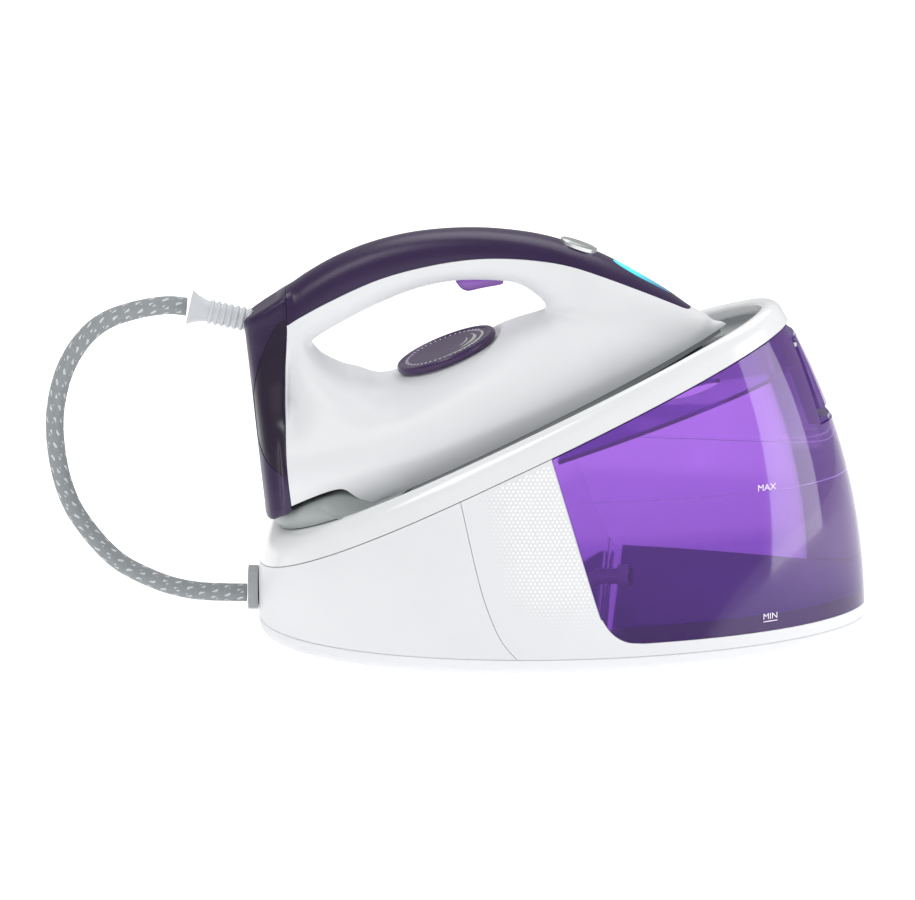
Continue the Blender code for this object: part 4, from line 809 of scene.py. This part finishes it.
def add_print(name, words, size, x, z, look_of, body, underline=False):
    """Flat lettering that follows the side of the tank."""
    curve = bpy.data.curves.new(name, "FONT")
    curve.body = words
    curve.align_x = "CENTER"
    text = placed(name + "_outline", curve)
    bpy.context.view_layer.update()
    mesh = bpy.data.meshes.new_from_object(text.evaluated_get(bpy.context.evaluated_depsgraph_get()))
    bpy.data.objects.remove(text)
    bm = bmesh.new()
    bm.from_mesh(mesh)
    if underline:
        half, low, high = 0.85, -0.32, -0.22
        corners = [(-half, low, 0), (half, low, 0), (half, high, 0), (-half, high, 0)]
        bm.faces.new([bm.verts.new(corner) for corner in corners])
    for vertex in bm.verts:
        px, pz = x + vertex.co.x * size, z + vertex.co.y * size
        vertex.co = (px, -surface_y(px, pz) - 0.00030, pz)
    bm.to_mesh(mesh)
    bm.free()
    return finish_piece(placed(name, mesh), look_of, body)


def add_tank_marks(looks):
    add_print("tank_max_mark", "MAX", 0.0052, 0.1230, 0.1030, looks["mark"], "tank")
    add_print("tank_min_mark", "MIN", 0.0050, 0.1255, 0.0275, looks["mark"], "tank", underline=True)


def wing_dot(x, z, side, radius):
    """Points of one low dome on a wing: two rings of six and a crest."""
    centre = Vector((x, side * surface_y(x, z), z))
    ahead = Vector((x + 0.001, side * surface_y(x + 0.001, z), z))
    above = Vector((x, side * surface_y(x, z + 0.001), z + 0.001))
    across, up = (ahead - centre).normalized(), (above - centre).normalized()
    out = across.cross(up) * -side
    out.normalize()
    points = []
    for ring, lift in ((1.0, -0.0001), (0.62, 0.75 * DOT_RISE * radius / DOT_RADIUS)):
        for k in range(6):
            turn = pi / 3 * k
            points.append(centre + (across * cos(turn) + up * sin(turn)) * radius * ring + out * lift)
    return points + [centre + out * DOT_RISE * radius / DOT_RADIUS]


def add_wing_dots(looks):
    """Raised dots in a honeycomb lattice on both wings, smaller towards the rear and the foot."""
    rear_x = [(z, x) for x, z in fine_edge(HOUSING_EDGE)]
    front_x = [(z, x) for x, z in fine_edge(TANK_EDGE) if x < 0.04]
    vertices, faces = [], []
    row_height = DOT_SPACING * 0.866
    for row in range(3, 60):
        z = 0.0190 + row * row_height
        first, last = float(read(rear_x, z)), float(read(front_x, z))
        for column in range(-30, 30):
            x = (column + 0.5 * (row % 2)) * DOT_SPACING
            if not first + 0.003 < x < last - 0.0018 or z > dock_height(x, -0.0025):
                continue
            share = (x - first) / (last - first)
            radius = DOT_RADIUS * float(smooth_step(0.02, 0.55, share) * smooth_step(0.015, 0.060, z))
            if radius < DOT_SMALLEST:
                continue
            for side in (-1, 1):
                n = len(vertices)
                vertices += wing_dot(x, z, side, radius)
                for k in range(6):
                    j = (k + 1) % 6
                    faces.append((n + k, n + j, n + 6 + j, n + 6 + k)[::side * -1])
                    faces.append((n + 6 + k, n + 6 + j, n + 12)[::side * -1])
    new_piece("wing_dot_pattern", vertices, faces, looks["dots"], "base", 80)


def lever_pocket_cutter(depth):
    """The room at the nose that the release lever sits in."""
    rows = []
    slices = [(LEVER_LOW_Z - 0.0080, 0.0230), (LEVER_TOP_Z - 0.0120, 0.0180), (LEVER_TOP_Z + 0.04, 0.0120)]
    for z, half in slices:
        front = base_point(0.0, z).x
        rows.append([Vector((front - depth, -half, z)), Vector((front + 0.04, -half, z)),
                     Vector((front + 0.04, half, z)), Vector((front - depth, half, z))])
    return loft("pocket", rows)


# ---------------------------------------------------------------- the iron's moulded skin
def crown(u):
    """Height of the hull along its middle."""
    return read_smooth([(-0.120, 0.0810), (-0.090, 0.0790), (-0.060, 0.0720), (-0.030, 0.0675), (0.0, 0.0672),
                        (0.060, 0.0668), (0.095, 0.0600), (0.120, 0.0490), (0.140, 0.0360), (0.155, 0.0225),
                        (0.164, 0.0150), (BODY_NOSE, 0.0118), (0.180, 0.0100)], u)


def plan_half_width(u):
    """Half width of the hull seen from above."""
    front = np.clip((BODY_NOSE - u) / (BODY_NOSE - BODY_WIDEST), 0.0, 1.0)
    rear = np.clip((BODY_WIDEST - u) / (BODY_WIDEST - BODY_REAR), 0.0, 1.0)
    narrowing = BODY_HALF_WIDTH * (1 - (1 - front) ** 2) ** 0.8
    return np.where(u >= BODY_WIDEST, narrowing, BODY_HALF_WIDTH - 0.0025 * rear * rear)


def crease_height(u):
    """Height of the flank's widest line, below which it tucks in."""
    return read([(-0.12, 0.0400), (-0.0766, 0.0350), (-0.0223, 0.0262), (0.0668, 0.0193), (0.15, 0.0130),
                 (0.18, 0.0105)], u)


def hull_field(u, y, w):
    """Distance-like field of the body's hull, negative inside."""
    half = np.maximum(plan_half_width(u), 0.0006)
    low = crease_height(u)
    top = np.maximum(crown(u), low + 0.0015)
    up = np.maximum(w - low, 0.0) / (top - low)
    across = np.abs(y) / np.maximum(half - FLANK_TUCK * np.maximum(low - w, 0.0), 0.0005)
    field = (across ** HULL_FULLNESS + up ** HULL_FULLNESS) ** (1 / HULL_FULLNESS) - 1
    return field * np.minimum(half, top - low)


def deck_height(u, y):
    """The crowned deck round the dial, which rises into both necks."""
    along = read_smooth([(-0.140, 0.110), (-0.060, 0.1000), (-0.0434, 0.0748), (-0.0281, 0.0664),
                         (-0.0203, 0.0647), (0.0, 0.0640), (0.0514, 0.0640), (0.0783, 0.0618),
                         (0.0900, 0.0720), (0.180, 0.110)], u)
    return along - 5.5 * y * y


def handle_field(u, y, w):
    """Distance-like field of the swept handle loop, from the nearest of many slices."""
    slices = curve_through(HANDLE, 24)
    top, bottom, half = slices[:, 0:2], slices[:, 2:4], slices[:, 4]
    centre, reach = (top + bottom) / 2, (top - bottom) / 2
    length = np.linalg.norm(reach, axis=1)
    along = reach / length[:, None]
    du = u[:, :, None] - centre[:, 0]
    dw = w[:, :, None] - centre[:, 1]
    off = np.abs(du * along[:, 1] - dw * along[:, 0])
    inline = du * along[:, 0] + dw * along[:, 1]
    beyond = np.maximum(np.abs(inline) - length, 0.0)
    nearest = np.argmin(off + 0.8 * beyond, axis=2)
    rows, columns = np.indices(nearest.shape)
    s = np.abs(inline[rows, columns, nearest]) / length[nearest]
    gap = np.maximum(off[rows, columns, nearest] - HANDLE_SLICE_GAP, 0.0)
    half_here, length_here = half[nearest], length[nearest]
    beside = np.abs(y)[None, :, None] / half_here[:, None, :]
    shape = s[:, None, :] ** HANDLE_FULLNESS + beside ** HANDLE_FULLNESS
    field = (shape ** (1 / HANDLE_FULLNESS) - 1) * np.minimum(half_here, length_here)[:, None, :]
    return np.hypot(np.maximum(field, 0), gap[:, None, :]) + np.minimum(field, 0)


def dial_place(u, y, w):
    """Distance from the dial's axis, and height over the dial's face."""
    du, dw = u - DIAL_PLACE.x, w - DIAL_PLACE.z
    height = du * sin(DIAL_LEAN) + dw * cos(DIAL_LEAN)
    sideways = du * cos(DIAL_LEAN) - dw * sin(DIAL_LEAN)
    return np.hypot(sideways, y), height


def boss_field(u, y, w):
    """The round boss that the dial sits on."""
    radius, height = dial_place(u, y, w)
    wall = (radius - BOSS_RADIUS + BOSS_FLARE * (height + DIAL_THICKNESS)) * 0.95
    return soft_cut(wall, height + DIAL_THICKNESS + BOSS_TOP, BOSS_BLEND)


def dial_room(u, y, w):
    """The shallow round recess that the dial turns in."""
    radius, height = dial_place(u, y, w)
    above_floor = -(height + DIAL_THICKNESS + RECESS_FLOOR)
    return np.maximum(np.maximum(radius - RECESS_RADIUS, above_floor), height - RECESS_TOP)


def heel_front(w):
    """Where the heel meets the body and the handle, at a height."""
    return read_smooth([(z, x) for x, z in HEEL_FRONT], w)


def heel_rear(w):
    (x0, z0), (x1, z1) = HEEL_REAR_LOW, HEEL_REAR_HIGH
    return x0 + (x1 - x0) * (w - z0) / (z1 - z0)


def heel_foot(u):
    """The heel's lower edge, which drops a little towards the rear."""
    return 0.0262 + 0.20 * (u + 0.1048)


def heel_field(u, y, w):
    """Distance-like field of the heel's round-backed block."""
    front, rear = heel_front(w), heel_rear(w)
    half = read(HEEL_HALF_WIDTH, w)
    back = np.maximum(front - HEEL_OVERLAP - u, 0.0) / np.maximum(front - rear - HEEL_OVERLAP, 0.004)
    shape = (back ** HEEL_FULLNESS + (np.abs(y) / half) ** HEEL_FULLNESS) ** (1 / HEEL_FULLNESS) - 1
    plan = shape * np.minimum(front - rear, half)
    roof = w - (HEEL_REAR_HIGH[1] + HEEL_ROOF_SLOPE * (u - HEEL_REAR_HIGH[0]))
    ahead = u - (front + 0.001)
    return np.maximum(soft_cut(soft_cut(plan, roof, 0.002), heel_foot(u) - w, 0.001), ahead)


def surface_nets(field, origin, step):
    """Points and quads of the surface where a sampled field is zero; the field is negative inside."""
    shape = np.array(field.shape)
    cells = tuple(shape - 1)
    total, count = np.zeros(cells + (3,)), np.zeros(cells)
    grid = np.stack(np.meshgrid(*[np.arange(n) for n in shape], indexing="ij"), axis=-1).astype(float)
    crossings = []
    for axis in range(3):
        low = np.take(field, range(shape[axis] - 1), axis)
        high = np.take(field, range(1, shape[axis]), axis)
        cross = (low < 0) != (high < 0)
        share = np.where(cross, low / np.where(cross, low - high, 1.0), 0.0)
        place = np.take(grid, range(shape[axis] - 1), axis).copy()
        place[..., axis] += share
        crossings.append((cross, low < 0))
        others = [a for a in range(3) if a != axis]
        for i in (0, 1):
            for j in (0, 1):
                part = [slice(None)] * 3
                part[others[0]] = slice(i, shape[others[0]] - 1 + i)
                part[others[1]] = slice(j, shape[others[1]] - 1 + j)
                mask = cross[tuple(part)]
                count += mask
                total += np.where(mask[..., None], place[tuple(part)], 0.0)
    active = count > 0
    index = np.full(cells, -1)
    index[active] = np.arange(active.sum())
    points = total[active] / count[active][:, None] * step + origin
    quads = []
    for axis in range(3):
        cross, inside = crossings[axis]
        others = [a for a in range(3) if a != axis]
        inner = [slice(None)] * 3
        for a in others:
            inner[a] = slice(1, shape[a] - 1)
        at = np.argwhere(cross[tuple(inner)])
        offset = np.array([0 if a == axis else 1 for a in range(3)])
        at = at + offset
        corner = []
        for i, j in ((1, 1), (0, 1), (0, 0), (1, 0)):
            moved = at.copy()
            moved[:, others[0]] -= i
            moved[:, others[1]] -= j
            corner.append(index[tuple(moved.T)])
        quad = np.stack(corner, axis=1)
        flip = inside[tuple(at.T)] if axis != 1 else ~inside[tuple(at.T)]
        quad[~flip] = quad[~flip][:, ::-1]
        quads.append(quad)
    return points, np.vstack(quads)


def soften(field, passes):
    """Blurs a sampled field a little, so that the surface has no grid marks."""
    for _ in range(passes):
        for axis in range(3):
            count = field.shape[axis]
            ahead = np.take(field, np.minimum(np.arange(count) + 1, count - 1), axis)
            behind = np.take(field, np.maximum(np.arange(count) - 1, 0), axis)
            field = 0.5 * field + 0.25 * (ahead + behind)
    return field


def relax(points, triangles, passes):
    """Evens out a mesh without shrinking it."""
    first, second = np.unique(np.sort(edges_of(triangles), axis=1), axis=0).T
    count = len(points)
    near = np.bincount(first, minlength=count) + np.bincount(second, minlength=count)
    near = np.maximum(near, 1)
    for step in range(2 * passes):
        share = 0.50 if step % 2 == 0 else -0.52
        moved = []
        for axis in range(3):
            along = points[:, axis]
            total = np.bincount(first, along[second], count) + np.bincount(second, along[first], count)
            moved.append(along + share * (total / near - along))
        points = np.stack(moved, axis=1)
    return points


def iron_skin():
    """The whole outer skin of the iron as points (dock frame) and triangles."""
    low, high = np.array(SKIN_LOW), np.array(SKIN_HIGH)
    counts = [int(ceil(n)) + 1 for n in (high - low) / SKIN_STEP]
    axes = [low[a] + SKIN_STEP * np.arange(counts[a]) for a in range(3)]
    u, y, w = np.meshgrid(*axes, indexing="ij")
    flat_u, flat_w = np.meshgrid(axes[0], axes[2], indexing="ij")
    hull = soft_cut(hull_field(u, y, w), w - deck_height(u, y), DECK_BLEND)
    field = soft_union(hull, handle_field(flat_u, axes[1], flat_w), HANDLE_BLEND)
    field = soft_cut(field, -dial_room(u, y, w), RECESS_BLEND)
    field = soft_union(field, boss_field(u, y, w), BOSS_BLEND)
    field = np.maximum(field, heel_front(w) - HEEL_OVERLAP - u)
    field = soft_union(field, heel_field(u, y, w), HEEL_BLEND)
    slope = np.sqrt(sum(g * g for g in np.gradient(field, SKIN_STEP)))
    field = soften(field / np.clip(slope, 0.4, 2.5), 2)
    points, quads = surface_nets(field, low, SKIN_STEP)
    triangles = np.vstack([quads[:, [0, 1, 2]], quads[:, [0, 2, 3]]])
    return relax(points, triangles, 6), triangles


def cover_level(p):
    """Negative on the white side of the line between body and handle cover."""
    return p[:, 2] - read_smooth(COVER_EDGE, p[:, 0])


def heel_level(p):
    """Negative in front of the line between body and heel."""
    return (heel_front(p[:, 2]) - p[:, 0]) * 0.93


def inset_level(p):
    """Negative on the bowed panel in each side of the heel."""
    share = np.clip((p[:, 2] - INSET_FOOT) / INSET_HEIGHT, 0.0, 1.0)
    bow = INSET_BOW * (4 * share * (1 - share)) ** 0.62
    front = heel_front(p[:, 2]) - 0.0010
    round_corner = 0.60 * read(HEEL_HALF_WIDTH, p[:, 2]) - np.abs(p[:, 1])
    beside = np.maximum(np.maximum(front - bow - p[:, 0], p[:, 0] - front), round_corner)
    return np.where((share > 0) & (share < 1), beside, 0.01)


def floor_level(p):
    """Positive below the body's lower edge, including the notch over the heel rest."""
    u, w = p[:, 0], p[:, 2]
    return np.where(u > REST_CLEARANCE[0][0], BODY_FLOOR, read_smooth(REST_CLEARANCE, u)) - w


def oval_level(p, place, lean, half_length, half_width, taper=0.0):
    """Negative inside an oval in the plane of a control, near that plane."""
    local = p - np.array(place)
    along = local[:, 0] * cos(lean) - local[:, 2] * sin(lean)
    away = local[:, 0] * sin(lean) + local[:, 2] * cos(lean)
    width = half_width * (1 - taper * along / half_length)
    ring = np.sqrt((along / half_length) ** 2 + (p[:, 1] / width) ** 2) - 1
    return np.where(np.abs(away) < 0.008, ring * half_width, 0.01)


def slot_level(p):
    """Negative inside the trigger's slot under the grip."""
    beside = np.maximum(np.abs(p[:, 0] - SLOT_U) - SLOT_HALF_LENGTH, np.abs(p[:, 1]) - SLOT_HALF_WIDTH)
    return np.where(np.abs(p[:, 2] - SLOT_W) < 0.0110, beside, 0.01)


def lens_level(p):
    return oval_level(p, LENS_PLACE, LENS_LEAN, LENS_HALF_LENGTH, LENS_HALF_WIDTH, LENS_TAPER)


def button_hole_level(p, room=0.0016):
    return oval_level(p, BUTTON_PLACE, BUTTON_LEAN, BUTTON_HALF_LENGTH + room, BUTTON_HALF_WIDTH + room)


def skin_piece(name, points, triangles, levels, thickness, look_of, sink=0.0):
    """The part of the skin where every level is negative, given a wall; sink moves it inwards."""
    for level in levels:
        points, triangles = clip(points, triangles, level)
    matrix = np.array(DOCK)
    world = points @ matrix[:3, :3].T + matrix[:3, 3]
    obj = new_piece(name, world, triangles, look_of, "iron", 50)
    if sink:
        normals = np.zeros(len(world) * 3)
        obj.data.vertices.foreach_get("normal", normals)
        world = world - normals.reshape(-1, 3) * sink
        obj.data.vertices.foreach_set("co", world.ravel())
    thicken(obj, thickness)
    return finish_piece(obj, look_of, "iron", 50)


def add_iron_shells(looks):
    """Cuts the one skin into body, handle cover, heel, insets and light window."""
    points, triangles = iron_skin()
    half = SEAM / 2
    body = skin_piece("iron_body_shell", points, triangles, [
        lambda p: heel_level(p) + half,
        lambda p: cover_level(p) + half,
        floor_level,
        lambda p: -slot_level(p),
    ], 0.0020, looks["white"])
    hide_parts("iron_body")
    cover = skin_piece("handle_cover_shell", points, triangles, [
        lambda p: heel_level(p) + half,
        lambda p: -cover_level(p) + half,
        lambda p: -button_hole_level(p),
        lambda p: -lens_level(p),
    ], 0.0020, looks["purple"])
    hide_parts("handle_cover")
    heel = skin_piece("heel_shell", points, triangles, [
        lambda p: -heel_level(p) + half,
        lambda p: -inset_level(p) + half,
        lambda p: heel_foot(p[:, 0]) - 0.0001 - p[:, 2],
    ], 0.0018, looks["purple"])
    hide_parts("heel_cover")
    for side, sign in (("right", -1), ("left", 1)):
        inset = skin_piece(f"heel_inset_{side}_panel", points, triangles, [
            lambda p: -heel_level(p) + half,
            inset_level,
            lambda p: -sign * p[:, 1],
        ], 0.0010, looks["inset"], sink=0.0003)
        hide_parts(f"heel_inset_{side}")
    window = skin_piece("light_window_lens", points, triangles, [
        lambda p: -cover_level(p) + half,
        lambda p: lens_level(p) + half,
    ], 0.0015, looks["lens"])
    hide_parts("light_window")


# ---------------------------------------------------------------- iron controls
def add_trigger(looks):
    """Clear violet trigger under the grip, deepest at its rear end."""
    under = [(-0.0100, 0.1083), (0.0172, 0.1060), (0.0370, 0.1014), (0.0621, 0.0899), (0.0761, 0.0780)]
    low = [(0.0362, 0.0996), (0.0372, 0.0958), (0.0392, 0.0933), (0.0415, 0.0922), (0.0470, 0.0911),
           (0.0530, 0.0897), (0.0585, 0.0883), (0.0608, 0.0882), (0.0618, 0.0892)]
    rows = []
    for u, bottom, _ in curve_through([(u, w, 0.0) for u, w in low], 4):
        top = float(read(under, u)) + 0.0030
        ring = []
        for k in range(24):
            angle = 2 * pi * k / 24
            side, up = superellipse(angle, 0.0060, (top - bottom) / 2, 4.0)
            ring.append(DOCK @ Vector((u, side, (top + bottom) / 2 + up)))
        rows.append(ring)
    trigger = loft("trigger_grip", rows, looks["trigger"], "trigger", 50)
    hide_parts("steam_trigger")


def dial_arc(axis, radius, half, start, sweep):
    """Rows of a raised arc, widest past its middle and pointed at both ends."""
    rows = []
    for k in range(49):
        share = k / 48
        turn = start + sweep * share
        wide = 0.00008 + half * sin(pi * share ** 0.7) ** 1.4
        place = [(radius - wide, -0.0014), (radius - wide, -0.0003), (radius + wide, -0.0003),
                 (radius + wide, -0.0014)]
        rows.append([axis @ Vector((cos(turn) * x, sin(turn) * x, z)) for x, z in place])
    return rows


def add_dial(looks):
    """The dial with its dished face, three silver arcs and a short scale."""
    axis = leaning(DIAL_PLACE, DIAL_LEAN)
    t, r = DIAL_THICKNESS, DIAL_RADIUS
    knob = [(0, -t), (r - 0.0024, -t), (r - 0.0010, -t + 0.0006), (r - 0.0002, -t + 0.0018), (r, -0.0022),
            (r - 0.0003, -0.0010), (r - 0.0010, -0.0002), (r - 0.0020, 0.0), (r - 0.0034, -0.0001),
            (r - 0.0042, -0.0006), (0.0180, -0.0008), (0.0080, -0.0012), (0, -0.0013)]
    dial = turned("temperature_dial_knob", knob, axis, looks["dial"], "dial", 128)
    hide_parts("temperature_dial")
    arcs = [(0.76 * r, 0.0011, radians(-105), radians(160)), (0.60 * r, 0.0015, radians(-62), radians(95)),
            (0.44 * r, 0.0007, radians(-50), radians(70))]
    for number, arc in enumerate(arcs, 1):
        loft(f"dial_face_arc_{number}", dial_arc(axis, *arc), looks["silver_rim"], "dial", 40)
    vertices, faces = [], []
    for k in range(4, 45):
        turn = 2 * pi * k / 48
        along = Vector((cos(turn), sin(turn), 0))
        across = Vector((-sin(turn), cos(turn), 0))
        for side in (-1, 1):
            for reach in (r - 0.0078, r - 0.0058):
                vertices.append(axis @ (along * reach + across * side * 0.00025 + Vector((0, 0, -0.0005))))
        n = len(vertices) - 4
        faces.append((n, n + 1, n + 3, n + 2))
    ticks = new_piece("dial_tick_marks", vertices, faces, looks["mark"], "dial")
    thicken(ticks, -0.0002)


def button_rows(rings, fullness=2.2, count=48):
    """Ovals round the button's axis from (half length, half width, height) triples."""
    matrix = leaning(BUTTON_PLACE, BUTTON_LEAN)
    rows = []
    for half_length, half_width, height in rings:
        row = []
        for k in range(count):
            x, y = superellipse(2 * pi * (k + 0.5) / count, half_length, half_width, fullness)
            row.append(matrix @ Vector((x, y, height)))
        rows.append(row)
    return rows


def add_button(looks):
    """The silver button and the bright ring round it."""
    a, b = BUTTON_HALF_LENGTH, BUTTON_HALF_WIDTH
    cap = [(0.0010, 0.0006, -0.0012), (a - 0.0014, b - 0.0014, -0.0014), (a - 0.0012, b - 0.0012, -0.0050),
           (a, b, -0.0050), (a, b, 0.0002), (a - 0.0004, b - 0.0004, 0.0007), (a - 0.0012, b - 0.0012, 0.0010),
           (a - 0.0040, b - 0.0034, 0.0009), (0.0020, 0.0012, 0.0007)]
    button = loft("top_button_cap", button_rows(cap), looks["silver"], "button")
    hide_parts("top_button")
    bezel = [(0.0003, -0.0020), (0.0015, -0.0020), (0.0015, 0.0001), (0.0011, 0.0005), (0.0006, 0.0004),
             (0.0003, -0.0002)]
    ring = [(a + room, b + room, height) for room, height in bezel]
    loft("button_bezel", button_rows(ring), looks["silver_rim"], "iron", closed_ends=True)


def add_relief(looks):
    """The ribbed boot that the hose leaves the heel through."""
    direction = (RELIEF_MOUTH - RELIEF_INNER).normalized()
    turn = Vector((0, 0, 1)).rotation_difference(direction).to_matrix().to_4x4()
    matrix = Matrix.Translation(RELIEF_INNER) @ turn
    length = (RELIEF_MOUTH - RELIEF_INNER).length
    profile = [(0, 0.0), (0.0078, 0.0), (0.0078, 0.0125), (0.0072, 0.0138)]
    ribs, first_rib, rib_pitch = 8, 0.0142, 0.0038
    for k in range(ribs):
        low = first_rib + k * rib_pitch
        profile += [(0.0061, low), (0.0061, low + 0.0009), (0.0068, low + 0.0013), (0.0072, low + 0.0018),
                    (0.0072, low + 0.0028), (0.0068, low + 0.0033), (0.0061, low + 0.0036)]
    profile += [(0.0063, length - 0.0110), (0.0068, length - 0.0085), (0.0082, length - 0.0045),
                (0.0100, length - 0.0012), (0.0103, length - 0.0004), (0.0098, length - 0.0003),
                (0.0070, length - 0.0020), (0.0060, length - 0.0040), (0, length - 0.0040)]
    relief = turned("hose_relief_boot", profile, matrix, looks["relief"], "iron", 48, 40)
    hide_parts("hose_relief")
    return relief


# ---------------------------------------------------------------- hose
def add_hose(looks, relief):
    """The braided hose, with its length and turn stored as the map that the weave follows."""
    path = curve_through(HOSE_ROUTE, 12)
    around = 32
    rows, lengths = [], [0.0]
    for i, point in enumerate(path):
        if i:
            lengths.append(lengths[-1] + float(np.linalg.norm(point - path[i - 1])))
        along = Vector(path[min(i + 1, len(path) - 1)] - path[max(i - 1, 0)]).normalized()
        side = Vector((0, 1, 0))
        up = along.cross(side)
        rows.append([
            Vector(point) + (side * cos(2 * pi * k / around) + up * sin(2 * pi * k / around)) * HOSE_RADIUS
            for k in range(around)
        ])
    hose = loft("steam_hose_sleeve", rows, looks["hose"], None, 60)
    layer = hose.data.uv_layers.new(name="along")
    for polygon in hose.data.polygons:
        for loop in polygon.loop_indices:
            vertex = hose.data.loops[loop].vertex_index
            row, k = divmod(vertex, around)
            turn = k / around
            others = [hose.data.loops[n].vertex_index % around for n in polygon.loop_indices]
            if k == 0 and max(others) > around // 2:
                turn = 1.0
            layer.data[loop].uv = (turn, lengths[row])
    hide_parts("steam_hose")
    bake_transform(hose)


# ---------------------------------------------------------------- carried-over CAD nodes
NODE_LOOKS = {
    "steel": ["base_screw_1", "base_screw_2", "base_screw_3", "base_screw_4", "pump_frame", "heating_element",
              "button_spring", "trigger_spring", "trigger_pin", "thermostat", "dial_shaft", "lever_pin",
              "valve_spring"],
    "rubber": ["foot_rear_right", "foot_front_right", "foot_rear_left", "foot_front_left", "pump_mount_front",
               "pump_mount_rear", "outlet_seal"],
    "black": ["mains_cord_gland", "board_relay", "tank_coupling", "trigger_switch", "valve_plunger"],
    "tubing": ["suction_tube", "pressure_tube", "inner_steam_pipe"],
    "tank_deep_clear": ["finger_pocket", "release_lever"],
    "grey": ["hose_gland", "sole_skirt"],
    "white": ["pump_barrel", "tank_outlet"],
    "board": ["control_board", "handle_board"],
    "cast": ["steam_chamber", "chamber_lid"],
    "copper": ["pump_coil"],
    "sole": ["soleplate"],
}


def dress_nodes(looks):
    """Gives a look to the CAD nodes that stay as they are."""
    for key, names in NODE_LOOKS.items():
        for name in names:
            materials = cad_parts[name].data.materials
            materials.clear()
            materials.append(looks[key])


# ---------------------------------------------------------------- stage, light and camera
def add_stage():
    """Pale floor and white surroundings."""
    mesh = bpy.data.meshes.new("studio_floor")
    corners = [(x * FLOOR_HALF, y * FLOOR_HALF, 0) for x, y in ((-1, -1), (1, -1), (1, 1), (-1, 1))]
    mesh.from_pydata(corners, [], [(0, 1, 2, 3)])
    floor = placed("studio_floor", mesh)
    material = bpy.data.materials.new("pale_floor")
    material.use_nodes = True
    plug(*shading(material), {"Base Color": (0.93, 0.93, 0.93, 1), "Roughness": 0.9,
                              "Emission Color": (1, 1, 1, 1), "Emission Strength": FLOOR_GLOW})
    mesh.materials.append(material)
    world = bpy.data.worlds.new("studio")
    world.use_nodes = True
    tree = world.node_tree
    plug(tree, tree.nodes["Background"], {"Color": (1, 1, 1, 1), "Strength": WORLD_STRENGTH})
    bpy.context.scene.world = world
    bpy.context.scene.view_settings.view_transform = "Standard"


def add_light(name, place, target, width, height, power):
    data = bpy.data.lights.new(name, "AREA")
    data.shape = "RECTANGLE"
    data.size, data.size_y = width, height
    data.energy = power
    light = placed(name, data)
    light.location = place
    light.rotation_euler = (Vector(target) - Vector(place)).to_track_quat("-Z", "Y").to_euler()


def add_camera():
    data = bpy.data.cameras.new("photo_angle")
    data.sensor_width = SENSOR
    data.lens = SENSOR * CAMERA_DISTANCE / VIEW_WIDTH
    camera = placed("photo_angle", data)
    away = Vector((0, -CAMERA_DISTANCE * cos(CAMERA_RISE), CAMERA_DISTANCE * sin(CAMERA_RISE)))
    camera.location = CAMERA_AIM + away
    camera.rotation_euler = (pi / 2 - CAMERA_RISE, 0, 0)
    bpy.context.scene.camera = camera


def main():
    looks = make_looks()
    add_camera()
    add_stage()
    for light in LIGHTS:
        add_light(*light)
    add_hose(looks, add_relief(looks))
    for add in (add_bottom_plate, add_rear_housing, add_tank_cradle, add_dock_rim, add_dock_tray,
                add_heel_rest, add_tank, add_tank_insides, add_tank_marks, add_wing_dots, add_iron_shells,
                add_dial, add_trigger, add_button, dress_nodes):
        add(looks)


main()
